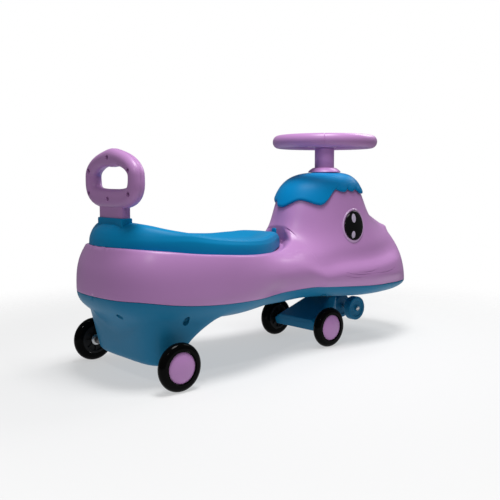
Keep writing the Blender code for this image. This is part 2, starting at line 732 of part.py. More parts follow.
def seat_outline(count):
    """Start points on the seat's middle line and outline points round it, from the tail."""
    tail_x, nose_x = SEAT_TAIL_X + 0.10, SEAT_NOSE_X - 0.145
    starts, bearings = fan_sections(np.linspace(tail_x, nose_x, count[1]), count[0], count[2])
    way = np.stack([-np.cos(bearings), -np.sin(bearings), 0.0 * bearings], axis=-1)
    start = np.stack([starts, 0.0 * starts, 0.0 * starts], axis=-1)
    reach = reach_of(lambda x, y, z: np.abs(y) - seat_half_width(x) + 1e-9, start + way * 1e-4, way, far=0.3)
    rim = start + way * reach[:, None]
    mirror = np.array([1.0, -1.0, 1.0])
    return np.concatenate([start, start[-2:0:-1]]), np.concatenate([rim, rim[-2:0:-1] * mirror])


def seat_surface(start, rim, foot, inward, share, dish):
    """Points at a share of the way from the rim to the middle line, at a share of the height."""
    point = start + (rim - start) * inward
    x = point[:, 0]
    lift = np.maximum(foot - deck_height(rim[:, 0]), 0.0) * inward ** 4
    gap = FACET_GAP + (NOSE_GAP - FACET_GAP) * np.clip((x - WAIST_X) / 0.02, 0.0, 1.0)
    point[:, 2] = deck_height(x) + lift + gap + seat_rise(x) * share
    hollow = SEAT_DISH * dish * np.clip((x - 0.02) / 0.08, 0, 1) * np.clip((SEAT_NOSE_X - 0.02 - x) / 0.06, 0, 1)
    point[:, 2] -= hollow
    return point


SEAT_TOP_AT_HANDLE = float(deck_height(HANDLE_X) + FACET_GAP + seat_rise(HANDLE_X))
SOCKET_TOP = SEAT_TOP_AT_HANDLE + SOCKET_RISE
RING_BOTTOM_Z = SOCKET_TOP + RING_ABOVE_SOCKET
RING_TOP_Z = RING_BOTTOM_Z + RING_SPAN

SEAT_LEVELS = [(1.000, 0.0, 0.0), (0.998, 0.35, 0.0), (0.985, 0.70, 0.0), (0.940, 0.93, 0.0),
               (0.860, 1.00, 0.0), (0.720, 0.985, 0.35), (0.450, 0.955, 0.85), (0.0, 0.940, 1.0)]


def make_seat():
    """Blue seat pan with the handle's socket and the tongue at its nose."""
    start, rim = seat_outline((6, 6, 8))
    below = np.stack([rim[:, 0], rim[:, 1], parting_height(rim[:, 0])], axis=-1)
    upwards = np.zeros_like(below)
    upwards[:, 2] = 1.0
    foot = below[:, 2] + reach_of(body, below, upwards)
    skin = SEAT_SKIN / SEAT_HALF_WIDTH
    outer = np.stack([seat_surface(start, rim, foot, r, h, d) for r, h, d in SEAT_LEVELS], axis=1)
    inner = np.stack([seat_surface(start, rim, foot, max(r - skin * (1.0 if r > 0.9 else 0.0), 0.0), h, d)
                      for r, h, d in SEAT_LEVELS], axis=1)
    lower = np.minimum(1.0, np.array([h for _, h, _ in SEAT_LEVELS]) * 3.0)
    inner[..., 2] -= SEAT_SKIN * lower
    vertices, faces = two_skins(outer, inner, True)
    faces = [f for f in faces if not is_middle_strip(f, outer.shape)]
    seat = add_piece("seat", vertices, faces, SEAT_BLUE)
    block_low = float(deck_height(HANDLE_X)) + SOCKET_ROOT
    half = SOCKET_THICKNESS / 2.0
    socket = add_block("seat_socket", (HANDLE_X - half, -SOCKET_HALF_WIDTH, block_low),
                       (HANDLE_X + half, SOCKET_HALF_WIDTH, SOCKET_TOP), SEAT_BLUE)
    combine(seat, socket, "UNION")
    pocket = add_block("seat_pocket",
                       (HANDLE_X - BLADE_THICKNESS / 2 - TOUCH_GAP, -BLADE_HALF_WIDTH - TOUCH_GAP,
                        SOCKET_TOP - SOCKET_POCKET_DEPTH),
                       (HANDLE_X + BLADE_THICKNESS / 2 + TOUCH_GAP, BLADE_HALF_WIDTH + TOUCH_GAP,
                        SOCKET_TOP + 0.01), SEAT_BLUE)
    combine(seat, pocket, "DIFFERENCE")
    x = SEAT_NOSE_X - TONGUE_FROM_NOSE
    foot = float(deck_height(x) + seat_rise(x)) * 1.0 - 0.002
    tongue = add_block("seat_tongue", (x - TONGUE_THICKNESS / 2, -TONGUE_WIDTH / 2, foot - 0.002),
                       (x + TONGUE_THICKNESS / 2, TONGUE_WIDTH / 2, foot + TONGUE_HEIGHT), SEAT_BLUE)
    combine(seat, tongue, "UNION")
    return seat


def is_middle_strip(face, shape):
    """True for the wall that would join the two skins along the seat's middle line."""
    rows, columns = shape[:2]
    second = rows * columns
    return min(face) < second <= max(face) and all(v % columns == columns - 1 for v in face)


# Grab handle

def ring_loop(count):
    """Centre line of the handle's ring, its outward way, and the tube's half height there."""
    turn = np.arange(count) * 2.0 * math.pi / count
    middle = (RING_TOP_Z + RING_BOTTOM_Z) / 2.0
    half = (RING_TOP_Z - RING_BOTTOM_Z) / 2.0
    power = np.where(np.cos(turn) > 0, 2.0 / RING_TOP_POWER, 2.0 / RING_BOTTOM_POWER)
    z = middle + half * np.sign(np.cos(turn)) * np.abs(np.cos(turn)) ** power
    taper = 1.0 - RING_TOP_TAPER * np.clip((z - middle) / half, 0.0, 1.0) ** 2
    y = RING_HALF_WIDTH * taper * np.sign(np.sin(turn)) * np.abs(np.sin(turn)) ** power
    ahead = np.roll(np.stack([y, z], -1), -1, axis=0) - np.roll(np.stack([y, z], -1), 1, axis=0)
    ahead /= np.linalg.norm(ahead, axis=-1, keepdims=True)
    out = np.stack([-ahead[:, 1], ahead[:, 0]], axis=-1)
    out *= np.sign(np.sum(out * np.stack([y, z - middle], -1), axis=-1, keepdims=True))
    up = (z - middle) / half
    tube_half = RING_SIDE_TUBE + np.where(up > 0, (RING_TOP_TUBE - RING_SIDE_TUBE) * up,
                                          (RING_SIDE_TUBE - RING_BOTTOM_TUBE) * up)
    boss = RING_BOSS * np.exp(-(y / RING_BOSS_WIDTH) ** 2) * (up > 0.5)
    return np.stack([y, z], -1), out, tube_half + boss


def handle_screw_places():
    """Six screws round the ring: across (y) and height."""
    middle = (RING_TOP_Z + RING_BOTTOM_Z) / 2.0
    upper = middle + RING_UPPER_SCREW_RISE
    lower = middle - RING_LOWER_SCREW_DROP
    across = RING_HALF_WIDTH - RING_SCREW_INSET
    return [(0.0, RING_TOP_Z), (across, upper), (across, lower), (0.0, RING_BOTTOM_Z), (-across, lower), (-across, upper)]


def make_handle_half(name, side):
    """One half of the ring with its half of the blade; side is -1 at the rear."""
    centre, out, tube_half = ring_loop(28)
    arc = np.linspace(0.0, math.pi, 6)
    radial = np.cos(arc)[None, :] * tube_half[:, None]
    depth = side * (TOUCH_GAP / 2.0 + np.sin(arc) ** 0.9 * RING_DEPTH_TUBE)
    grid = np.zeros((len(centre), len(arc), 3))
    grid[..., 0] = HANDLE_X + depth
    grid[..., 1] = centre[:, 0:1] + out[:, 0:1] * radial
    grid[..., 2] = centre[:, 1:2] + out[:, 1:2] * radial
    half = add_piece(name, grid.reshape(-1, 3), grid_faces(len(centre), len(arc), True, True), LILAC)
    near, far = sorted((HANDLE_X + side * TOUCH_GAP / 2.0, HANDLE_X + side * BLADE_THICKNESS / 2.0))
    blade = add_block(f"{name}_blade", (near, -BLADE_HALF_WIDTH, SOCKET_TOP - SOCKET_POCKET_DEPTH + TOUCH_GAP),
                      (far, BLADE_HALF_WIDTH, RING_BOTTOM_Z), LILAC)
    combine(half, blade, "UNION")
    for number, (y, z) in enumerate(handle_screw_places()):
        face = HANDLE_X + SCREW_HEAD_HEIGHT - RING_DEPTH_TUBE + 0.004
        wide, slim = SCREW_HEAD_RADIUS + TOUCH_GAP, SCREW_SHANK_RADIUS + TOUCH_GAP
        deep = face + HANDLE_SCREW_LENGTH + 0.001
        outline = [(0.0, -0.06), (wide, -0.06), (wide, face), (slim, face), (slim, deep), (0.0, deep)]
        bore_out(half, f"{name}_bore_{number}", outline, 8, axis="X", place=(0, y, z))
    return half


def make_handle_screws():
    """Six screws that pull the two halves together from the rear."""
    face = HANDLE_X + SCREW_HEAD_HEIGHT - RING_DEPTH_TUBE + 0.004 - TOUCH_GAP
    for number, (y, z) in enumerate(handle_screw_places(), start=1):
        profile = [(0.0, face - SCREW_HEAD_HEIGHT), (SCREW_HEAD_RADIUS, face - SCREW_HEAD_HEIGHT),
                   (SCREW_HEAD_RADIUS, face), (SCREW_SHANK_RADIUS, face),
                   (SCREW_SHANK_RADIUS, face + HANDLE_SCREW_LENGTH), (0.0, face + HANDLE_SCREW_LENGTH)]
        add_turned(f"handle_screw_{number}", profile, 8, STEEL, axis="X", place=(0, y, z))


# Hair cap and eyes

def cap_edge_points():
    """Bearing and height of each tip and notch of the cap's edge, once round."""
    near = [(-bearing, height) for bearing, height in CAP_EDGE_NEAR[:0:-1]]
    return near + CAP_EDGE_NEAR + CAP_EDGE_TAIL


def cap_bearings(steps):
    """Bearings with every tip and notch among them, and the edge height at each."""
    points = cap_edge_points()
    points = points + [(points[0][0] + 360.0, points[0][1])]
    bearings, heights = [], []
    for (b0, h0), (b1, h1) in zip(points[:-1], points[1:]):
        count = max(1, round((b1 - b0) / steps))
        for k in range(count):
            t = k / count
            bearings.append(b0 + (b1 - b0) * t)
            heights.append(h0 + (h1 - h0) * t * t * (3.0 - 2.0 * t))
    return np.radians(np.array(bearings)), np.array(heights)


def make_hair_cap():
    """Blue cap over the head, scalloped below, with the column's hole on top."""
    bearing, edge = cap_bearings(9.0)
    centre = np.array([PIVOT_X - 0.023, 0.0, EYE_Z - 0.005])
    flat = np.stack([np.cos(bearing), np.sin(bearing), 0.0 * bearing], axis=-1)
    start = np.stack([0.0 * bearing + centre[0], 0.0 * bearing, edge], axis=-1)
    foot = start + flat * reach_of(body, start, flat, far=0.25)[:, None]
    crown = np.stack([PIVOT_X + CAP_HOLE_RADIUS * np.cos(bearing), CAP_HOLE_RADIUS * np.sin(bearing),
                      0.0 * bearing + HEAD_TOP], axis=-1)
    low = foot - centre
    high = crown - centre
    low /= np.linalg.norm(low, axis=-1, keepdims=True)
    high /= np.linalg.norm(high, axis=-1, keepdims=True)
    shares = np.array([0.0, 0.09, 0.24, 0.40, 0.55, 0.70, 0.85, 1.0])
    way = low[:, None] * (1.0 - shares[:, None]) + high[:, None] * shares[:, None]
    way /= np.linalg.norm(way, axis=-1, keepdims=True)
    origin = centre + 0.0 * way
    skin = origin + way * reach_of(body, origin, way)[..., None]
    facing = outward(body, skin)
    inner = skin + facing * CAP_GAP
    thickness = CAP_THICKNESS * np.array([0.55, 1, 1, 1, 1, 1, 1, 1])
    outer = inner + facing * thickness[:, None]
    vertices, faces = two_skins(outer, inner, True)
    return add_piece("hair_cap", vertices, faces, CAP_BLUE)


def make_eye(name, side):
    """Black oval that bulges from the side of the head."""
    turns = np.arange(18) * 2.0 * math.pi / 18
    rings = np.array([1.0, 0.84, 0.50, 0.0])
    z = EYE_Z + EYE_HALF_HEIGHT * rings[None, :] * np.sin(turns)[:, None]
    x = EYE_X + EYE_HALF_WIDTH * rings[None, :] * np.cos(turns)[:, None] + EYE_LEAN * (z - EYE_Z)
    start = np.stack([x, 0.0 * x, z], axis=-1)
    way = np.zeros_like(start)
    way[..., 1] = side
    back = start + way * (reach_of(body, start, way, FACET_GAP, far=0.25) + 0.0)[..., None]
    bulge = 0.0015 + (EYE_BULGE - 0.0015) * (1.0 - rings ** 2) ** 0.7
    front = back + way * bulge[:, None]
    vertices, faces = two_skins(front, back, True)
    faces = [f for f in faces if not is_middle_strip(f, front.shape)]
    return add_piece(name, vertices, faces, EYE_BLACK)


# Wheels and axles

def make_wheel(name, x, outer_y, side, parent):
    """Tyre, core, hub cap and push nut of one wheel, on their own spin axis."""
    middle = outer_y - WHEEL_WIDTH / 2.0
    axis = make_empty(f"{name}_spin", (x, side * middle, 0.0), parent)
    half = WHEEL_WIDTH / 2.0
    seat = WHEEL_RADIUS - TYRE_DEPTH
    crown = [math.radians(a) for a in (0, 40, 90, 140, 180)]
    tread = [(seat + 0.0015 + (TYRE_DEPTH - 0.0015) * math.sin(a) ** 0.62, half * math.cos(a)) for a in crown]
    tread[0], tread[-1] = (seat, half * 0.97), (seat, -half * 0.97)
    add_turned(f"{name}_tyre", [(r, side * y) for r, y in tread], 24, TYRE_BLACK, axis="Y", parent=axis)
    core = seat - TOUCH_GAP
    web_in = -half + 0.001
    web_out = web_in + CORE_WEB
    rim_out = half - HUB_CAP_RIM_SET_BACK - 0.001
    bore = AXLE_RADIUS + TOUCH_GAP
    cap_seat = min(HUB_CAP_RADIUS, core - 0.0012)
    profile = [(bore, web_in), (core, web_in), (core, rim_out), (cap_seat + TOUCH_GAP, rim_out),
               (cap_seat + TOUCH_GAP, web_out), (bore, web_out)]
    add_turned(f"{name}_core", [(r, side * y) for r, y in profile], 20, CORE_BLACK, axis="Y", parent=axis)
    edge = half - HUB_CAP_RIM_SET_BACK
    dome = [(cap_seat * math.cos(a), edge + HUB_CAP_BULGE * math.sin(a))
            for a in (math.radians(d) for d in (0, 30, 60, 90))]
    under = [(max(r - HUB_CAP_SKIN, 0.0) if r > 0.001 else 0.0, y - HUB_CAP_SKIN) for r, y in reversed(dome)]
    skirt = [(cap_seat - HUB_CAP_SKIN, web_out + TOUCH_GAP), (cap_seat, web_out + TOUCH_GAP)]
    add_turned(f"{name}_hub_cap", [(r, side * y) for r, y in dome + under + skirt], 20, LILAC, axis="Y", parent=axis)
    nut_low = web_out + TOUCH_GAP
    nut = tube(AXLE_RADIUS + TOUCH_GAP, PUSH_NUT_RADIUS, nut_low, nut_low + PUSH_NUT_THICKNESS)
    add_turned(f"{name}_push_nut", [(r, side * y) for r, y in nut], 10, STEEL, axis="Y",
               parent=parent, place=(x, side * middle, 0.0))
    return middle + nut_low + PUSH_NUT_THICKNESS


def make_rear_gear():
    """Rear axle through the pod, with a spacer and a wheel each side."""
    for label, side in (("rear_left", 1), ("rear_right", -1)):
        axle_end = make_wheel(label, 0.0, REAR_TRACK / 2.0, side, CAR)
        pod_side = axle_exit()
        inner = REAR_TRACK / 2.0 - WHEEL_WIDTH + 0.001
        spacer = tube(AXLE_RADIUS + TOUCH_GAP, SPACER_RADIUS, pod_side + TOUCH_GAP, inner - SIDE_PLAY)
        add_turned(f"{label}_spacer", [(r, side * y) for r, y in spacer], 12, STEEL, axis="Y")
    add_turned("rear_axle", rod(AXLE_RADIUS, -axle_end - 0.0005, axle_end + 0.0005), 12, STEEL, axis="Y")


def axle_exit():
    """How far from the middle the rear axle leaves the pod, round its spacer."""
    start = np.array([[SPACER_RADIUS * math.cos(t), 0.0, SPACER_RADIUS * math.sin(t)]
                      for t in np.linspace(0.0, 2.0 * math.pi, 9)])
    way = np.zeros_like(start)
    way[:, 1] = 1.0
    return float(np.max(reach_of(body, start, way, far=0.2)))


def make_front_gear():
    """Front axle in the truck's housing, with a washer and a wheel each side."""
    for label, side in (("front_left", 1), ("front_right", -1)):
        axle_end = make_wheel(label, -TRAIL, FRONT_TRACK / 2.0, side, STEERING)
        inner = FRONT_TRACK / 2.0 - WHEEL_WIDTH + 0.001
        washer = tube(AXLE_RADIUS + TOUCH_GAP, SPACER_RADIUS, HOUSING_HALF_LENGTH + TOUCH_GAP, inner - SIDE_PLAY)
        add_turned(f"{label}_washer", [(r, side * y) for r, y in washer], 12, STEEL, axis="Y",
                   parent=STEERING, place=(-TRAIL, 0, 0))
    add_turned("front_axle", rod(AXLE_RADIUS, -axle_end - 0.0005, axle_end + 0.0005), 12, STEEL, axis="Y",
               parent=STEERING, place=(-TRAIL, 0, 0))


# Steering

BOSS_TOP = BELLY_HEIGHT - BUSH_FLANGE_THICKNESS - 2.0 * TOUCH_GAP
WHEEL_HUB_LOW = STEERING_WHEEL_Z - HUB_HALF_HEIGHT
WHEEL_HUB_TOP = STEERING_WHEEL_Z + HUB_HALF_HEIGHT
SHAFT_TOP = WHEEL_HUB_TOP - WHEEL_CAP_DEPTH - 0.004


def make_truck():
    """Dark blue carrier: pivot boss, sloping web, front axle housing and roller arm."""
    boss = add_turned("steering_truck", rod(BOSS_RADIUS, BOSS_FLOOR, BOSS_TOP), 32, TRUCK_BLUE, parent=STEERING)
    web = []
    for x, y, z in ((-0.012, 0.0285, BOSS_TOP - 0.001), (0.016, 0.0240, BOSS_TOP - 0.001),
                    (-0.012, 0.0285, BOSS_TOP - 0.012), (0.020, 0.0200, BOSS_FLOOR),
                    (-TRAIL - HOUSING_BACK, HOUSING_TOP_HALF_LENGTH, HOUSING_TOP - 0.001),
                    (-TRAIL + HOUSING_FRONT, HOUSING_TOP_HALF_LENGTH, HOUSING_TOP),
                    (-TRAIL - HOUSING_BACK, HOUSING_HALF_LENGTH, HOUSING_SHOULDER),
                    (-TRAIL + HOUSING_FRONT, HOUSING_HALF_LENGTH, HOUSING_SHOULDER),
                    (-TRAIL - HOUSING_BACK + 0.004, HOUSING_HALF_LENGTH, HOUSING_BOTTOM + 0.002),
                    (-TRAIL + HOUSING_FRONT - 0.004, HOUSING_HALF_LENGTH, HOUSING_BOTTOM)):
        web += [(x, y, z), (x, -y, z)]
    combine(boss, add_hull("truck_web", web, TRUCK_BLUE, parent=STEERING), "UNION")
    arm_root = ROLLER_AHEAD_OF_PIVOT - ROLLER_RADIUS - 0.004
    neck = []
    for x, y, z in ((0.005, 0.024, BOSS_TOP - 0.002), (0.005, 0.022, BOSS_FLOOR + 0.001),
                    (arm_root, ARM_HALF_WIDTH - 0.0004, BOSS_TOP - 0.010),
                    (arm_root, ARM_HALF_WIDTH - 0.0004, BOSS_FLOOR + 0.001)):
        neck += [(x, y, z), (x, -y, z)]
    combine(boss, add_hull("truck_neck", neck, TRUCK_BLUE, parent=STEERING), "UNION")
    arm = []
    for x, z in ((0.022, BOSS_TOP - 0.006), (0.022, BOSS_FLOOR + 0.003), (arm_root, BOSS_TOP - 0.010),
                 (ROLLER_AHEAD_OF_PIVOT + 0.006, ROLLER_Z + ARM_HALF_HEIGHT),
                 (ROLLER_AHEAD_OF_PIVOT + 0.0105, ROLLER_Z + 0.003),
                 (ROLLER_AHEAD_OF_PIVOT + 0.006, ROLLER_Z - ARM_HALF_HEIGHT),
                 (ROLLER_AHEAD_OF_PIVOT - 0.010, ROLLER_Z - ARM_HALF_HEIGHT)):
        arm += [(x, ARM_HALF_WIDTH, z), (x, -ARM_HALF_WIDTH, z)]
    combine(boss, add_hull("truck_arm", arm, TRUCK_BLUE, parent=STEERING), "UNION")
    floor = BOSS_FLOOR + BOSS_FLOOR_THICKNESS
    bore_out(boss, "truck_shaft_bore", rod(SHAFT_RADIUS + TOUCH_GAP, floor, BOSS_TOP + 0.01), 16, parent=STEERING)
    bore_out(boss, "truck_end_bore", rod(SHAFT_END_RADIUS + TOUCH_GAP, BOSS_FLOOR - 0.03, floor + 0.01), 12,
             parent=STEERING)
    bore_out(boss, "truck_nut_room", rod(LOCK_NUT_RADIUS + 0.002, BOSS_FLOOR - 0.05, BOSS_FLOOR + 0.001), 16,
             parent=STEERING)
    bore_out(boss, "truck_axle_bore", rod(AXLE_RADIUS + TOUCH_GAP, -0.1, 0.1), 12, axis="Y", parent=STEERING,
             place=(-TRAIL, 0, 0))
    bore_out(boss, "truck_pin_bore", rod(ROLLER_PIN_RADIUS + TOUCH_GAP, -0.1, 0.1), 10, axis="Y", parent=STEERING,
             place=(ROLLER_AHEAD_OF_PIVOT, 0, ROLLER_Z))
    return boss


def make_rollers():
    """Two anti-tip rollers on one pin across the truck's arm, with a nut each end."""
    low = ARM_HALF_WIDTH + SIDE_PLAY
    high = low + ROLLER_WIDTH
    bore = ROLLER_PIN_RADIUS + TOUCH_GAP
    edge = 0.0025
    profile = [(bore, low), (ROLLER_RADIUS - edge, low), (ROLLER_RADIUS, low + edge),
               (ROLLER_RADIUS, high - edge), (ROLLER_RADIUS - edge, high), (bore, high)]
    for label, side in (("left", 1), ("right", -1)):
        place = (ROLLER_AHEAD_OF_PIVOT, 0.0, ROLLER_Z)
        add_turned(f"roller_{label}", [(r, side * y) for r, y in profile], 20, TRUCK_BLUE, axis="Y",
                   parent=STEERING, place=place)
        nut_low = high + SIDE_PLAY
        nut_high = nut_low + ROLLER_NUT_THICKNESS
        nut = [(bore, nut_low), (ROLLER_NUT_RADIUS, nut_low), (ROLLER_NUT_RADIUS * 0.8, nut_high), (bore, nut_high)]
        add_turned(f"roller_nut_{label}", [(r, side * y) for r, y in nut], 8, STEEL, axis="Y",
                   parent=STEERING, place=place)
    add_turned("roller_pin", rod(ROLLER_PIN_RADIUS, -nut_high, nut_high), 10, STEEL, axis="Y",
               parent=STEERING, place=place)


def make_column():
    """Shaft, bush, lock nut, lilac sleeve and the collar that guides it."""
    floor = BOSS_FLOOR + BOSS_FLOOR_THICKNESS + TOUCH_GAP
    nut_low = BOSS_FLOOR + 0.001 - TOUCH_GAP - LOCK_NUT_HEIGHT
    pilot = WHEEL_BOLT_RADIUS + TOUCH_GAP
    pilot_depth = WHEEL_BOLT_LENGTH + 0.002
    shaft = [(0.0, nut_low - 0.001), (SHAFT_END_RADIUS, nut_low - 0.001), (SHAFT_END_RADIUS, floor),
             (SHAFT_RADIUS, floor), (SHAFT_RADIUS, SHAFT_TOP), (pilot, SHAFT_TOP),
             (pilot, SHAFT_TOP - pilot_depth), (0.0, SHAFT_TOP - pilot_depth)]
    add_turned("steering_shaft", shaft, 16, STEEL, parent=STEERING)
    nut = add_turned("shaft_lock_nut", rod(LOCK_NUT_RADIUS, nut_low, nut_low + LOCK_NUT_HEIGHT), 6, STEEL,
                     parent=STEERING, sharp=20.0)
    bore_out(nut, "lock_nut_bore", rod(SHAFT_END_RADIUS + TOUCH_GAP, nut_low - 0.01, nut_low + 0.02), 12,
             parent=STEERING)
    flange_low = BOSS_TOP + TOUCH_GAP
    flange_high = flange_low + BUSH_FLANGE_THICKNESS
    bore = SHAFT_RADIUS + TOUCH_GAP
    bush = [(bore, flange_low), (BUSH_FLANGE_RADIUS, flange_low), (BUSH_FLANGE_RADIUS, flange_high),
            (BUSH_SPIGOT_RADIUS, flange_high), (BUSH_SPIGOT_RADIUS, flange_high + BUSH_SPIGOT_HEIGHT),
            (bore, flange_high + BUSH_SPIGOT_HEIGHT)]
    add_turned("lower_steering_bush", bush, 16, BUSH_WHITE, place=(PIVOT_X, 0, 0))
    foot = CAP_TOP + TOUCH_GAP
    sleeve_bore = SLEEVE_RADIUS + TOUCH_GAP
    collar = [(sleeve_bore, foot - COLLAR_SPIGOT_DEPTH), (COLLAR_SPIGOT_RADIUS, foot - COLLAR_SPIGOT_DEPTH),
              (COLLAR_SPIGOT_RADIUS, foot), (COLLAR_RADIUS, foot), (COLLAR_RADIUS, foot + COLLAR_HEIGHT * 0.25),
              ((COLLAR_RADIUS + COLLAR_TOP_RADIUS) / 2 + 0.001, foot + COLLAR_HEIGHT * 0.72),
              (COLLAR_TOP_RADIUS - 0.003, foot + COLLAR_HEIGHT), (sleeve_bore, foot + COLLAR_HEIGHT)]
    add_turned("column_collar", collar, 24, LILAC, place=(PIVOT_X, 0, 0))
    sleeve = tube(SHAFT_RADIUS + TOUCH_GAP, SLEEVE_RADIUS, foot - COLLAR_SPIGOT_DEPTH + 0.002,
                  WHEEL_HUB_LOW - TOUCH_GAP)
    add_turned("steering_column", sleeve, 24, LILAC, parent=STEERING)


def make_steering_wheel():
    """Round grip, three spokes and a hub in one moulding, with a bolt under its cap."""
    around = 32
    section = [math.radians(a) for a in range(0, 360, 45)]
    middle = STEERING_WHEEL_RADIUS - GRIP_HALF_WIDTH
    grip = [(middle + GRIP_HALF_WIDTH * math.cos(a), STEERING_WHEEL_Z + GRIP_HALF_HEIGHT * math.sin(a))
            for a in section]
    wheel = add_turned("steering_wheel", grip, around, LILAC, parent=STEERING)
    hub = add_turned("wheel_hub", [(0.0, WHEEL_HUB_LOW), (SLEEVE_RADIUS + 0.004, WHEEL_HUB_LOW),
                                   (HUB_RADIUS, STEERING_WHEEL_Z), (HUB_RADIUS - 0.003, WHEEL_HUB_TOP),
                                   (0.0, WHEEL_HUB_TOP)], 20, LILAC, parent=STEERING)
    combine(wheel, hub, "UNION")
    for number, turn in enumerate((0.0, 120.0, 240.0)):
        spoke = add_block(f"wheel_spoke_{number}", (0.012, -SPOKE_WIDTH / 2, STEERING_WHEEL_Z - SPOKE_HALF_HEIGHT),
                          (middle, SPOKE_WIDTH / 2, STEERING_WHEEL_Z + SPOKE_HALF_HEIGHT), LILAC, parent=STEERING)
        spoke.rotation_euler = (0.0, 0.0, math.radians(turn + 180.0))
        combine(wheel, spoke, "UNION")
    cap_floor = WHEEL_HUB_TOP - WHEEL_CAP_DEPTH
    bore_out(wheel, "wheel_recess", rod(WHEEL_CAP_RADIUS + TOUCH_GAP, cap_floor, WHEEL_HUB_TOP + 0.01), 20,
             parent=STEERING)
    bore_out(wheel, "wheel_shaft_hole", rod(SHAFT_RADIUS + TOUCH_GAP, WHEEL_HUB_LOW - 0.01, SHAFT_TOP + TOUCH_GAP),
             16, parent=STEERING)
    bore_out(wheel, "wheel_bolt_hole", rod(WHEEL_BOLT_RADIUS + TOUCH_GAP, SHAFT_TOP - 0.01, cap_floor + 0.01), 8,
             parent=STEERING)
    head_low = cap_floor + TOUCH_GAP
    head_high = head_low + 0.0025
    bolt = [(0.0, head_low - WHEEL_BOLT_LENGTH), (WHEEL_BOLT_RADIUS, head_low - WHEEL_BOLT_LENGTH),
            (WHEEL_BOLT_RADIUS, head_low), (WHEEL_BOLT_HEAD_RADIUS, head_low), (WHEEL_BOLT_HEAD_RADIUS, head_high),
            (0.0, head_high)]
    add_turned("steering_wheel_bolt", bolt, 8, STEEL, parent=STEERING)
    skin = 0.002
    cap = [(WHEEL_CAP_RADIUS - skin, head_low), (WHEEL_CAP_RADIUS, head_low), (WHEEL_CAP_RADIUS, WHEEL_HUB_TOP),
           (WHEEL_CAP_RADIUS * 0.6, WHEEL_HUB_TOP + 0.002), (0.0, WHEEL_HUB_TOP + 0.0028),
           (0.0, WHEEL_HUB_TOP + 0.0028 - skin), (WHEEL_CAP_RADIUS - skin, WHEEL_HUB_TOP - skin)]
    add_turned("steering_wheel_cap", cap, 20, LILAC, parent=STEERING)


make_upper_shell()
make_lower_shell()
make_body_screws()
make_seat()
make_handle_half("handle_rear_half", -1)
make_handle_half("handle_front_half", 1)
make_handle_screws()
make_hair_cap()
make_eye("eye_left", 1)
make_eye("eye_right", -1)
make_rear_gear()
make_front_gear()
make_truck()
make_rollers()
make_column()
make_steering_wheel()
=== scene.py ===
"""Toddler swing car: an animal-shaped ride-on in two moulded shells, with a seat, a grab handle,
a steering wheel that turns a truck under the head, four wheels and two anti-tip rollers.

Metres, +X towards the snout, +Y to the car's left, +Z up. Stations and heights of the body are
counted from the rear axle, as in the solids.
"""

import math

import bmesh
import bpy
import numpy as np
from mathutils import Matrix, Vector


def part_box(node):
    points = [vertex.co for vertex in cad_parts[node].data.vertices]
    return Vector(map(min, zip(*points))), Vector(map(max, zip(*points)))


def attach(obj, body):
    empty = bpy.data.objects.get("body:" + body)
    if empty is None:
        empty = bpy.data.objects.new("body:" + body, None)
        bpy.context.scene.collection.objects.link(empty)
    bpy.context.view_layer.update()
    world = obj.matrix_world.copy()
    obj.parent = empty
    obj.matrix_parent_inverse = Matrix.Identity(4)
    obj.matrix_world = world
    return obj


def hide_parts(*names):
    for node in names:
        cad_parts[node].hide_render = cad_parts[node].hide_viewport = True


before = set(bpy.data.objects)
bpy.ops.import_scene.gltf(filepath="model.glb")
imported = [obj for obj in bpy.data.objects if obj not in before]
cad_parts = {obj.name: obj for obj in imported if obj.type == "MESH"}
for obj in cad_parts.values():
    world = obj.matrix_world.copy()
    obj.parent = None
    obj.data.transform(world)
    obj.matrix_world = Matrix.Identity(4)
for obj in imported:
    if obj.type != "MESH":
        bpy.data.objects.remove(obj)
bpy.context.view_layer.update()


# Lower body shell
# The blue half of the body, moulded in polypropylene: a band under the lilac half, the belly and
# the box that carries the rear axle. Six screws come up through wells in it.

def middle_of(node):
    """Middle of a solid's box."""
    low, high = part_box(node)
    return np.array((low + high) / 2)


AXLE = middle_of("rear_axle") * [1, 0, 1]
PIVOT_X = float(middle_of("steering_shaft")[0] - AXLE[0])
STEER = AXLE + [PIVOT_X, 0.0, 0.0]
GAP = 0.0003
WALL = 0.003
AXLE_RADIUS = 0.0040
REAR_BODY = dict(centre=(0.0855, 0.1126), back=0.161, front=0.151, half_width=0.139,
                 rise=0.119, drop=0.059, plan_power=2.9, side_power=2.7)
WAIST_X = 0.270
WAIST = dict(centre=(WAIST_X, 0.120), back=0.204, front=PIVOT_X - 0.028 - WAIST_X, half_width=0.103,
             rise=0.054, drop=0.068, plan_power=2.5, side_power=2.1)
BILL = dict(centre=(PIVOT_X + 0.0925, 0.080), back=0.157, front=0.106, half_width=0.1105,
            rise=0.1415, drop=0.0335, plan_power=2.4, side_power=1.94)
HEAD = dict(centre=(PIVOT_X + 0.0125, 0.1245), back=0.144, front=0.063, half_width=0.087,
            rise=0.1825, drop=0.042, plan_power=2.0, side_power=3.8)
REAR_TO_WAIST_BLEND = 0.071
BODY_TO_BILL_BLEND = 0.0865
BODY_TO_HEAD_BLEND = 0.095
POD_FLOOR = -0.0095
POD_BACK = 0.0215
POD_FRONT = 0.0260
POD_HALF_WIDTH = 0.101
POD_WALL_SLOPE = 0.20
POD_RAMP_REACH = 0.116
POD_RAMP_HEIGHT = 0.077
POD_MIDDLE_SHIFT = 0.028
POD_CORNER_POWER = 4.5
POD_TOP = 0.085
POD_BLEND = 0.012
POD_REAR_FILLET, REAR_FILLET_HALF_WIDTH = 0.030, 0.055
BELLY_HEIGHT = 0.054
BELLY_BLEND = 0.010
TAIL_FAN_X, SNOUT_FAN_X = 0.050, PIVOT_X + 0.022
LEDGE_WIDTH, LEDGE_BLEND = 0.010, 0.010
RAMP_START_X, RAMP_RUN, RAMP_SLOPE = 0.22, 0.06, 0.9
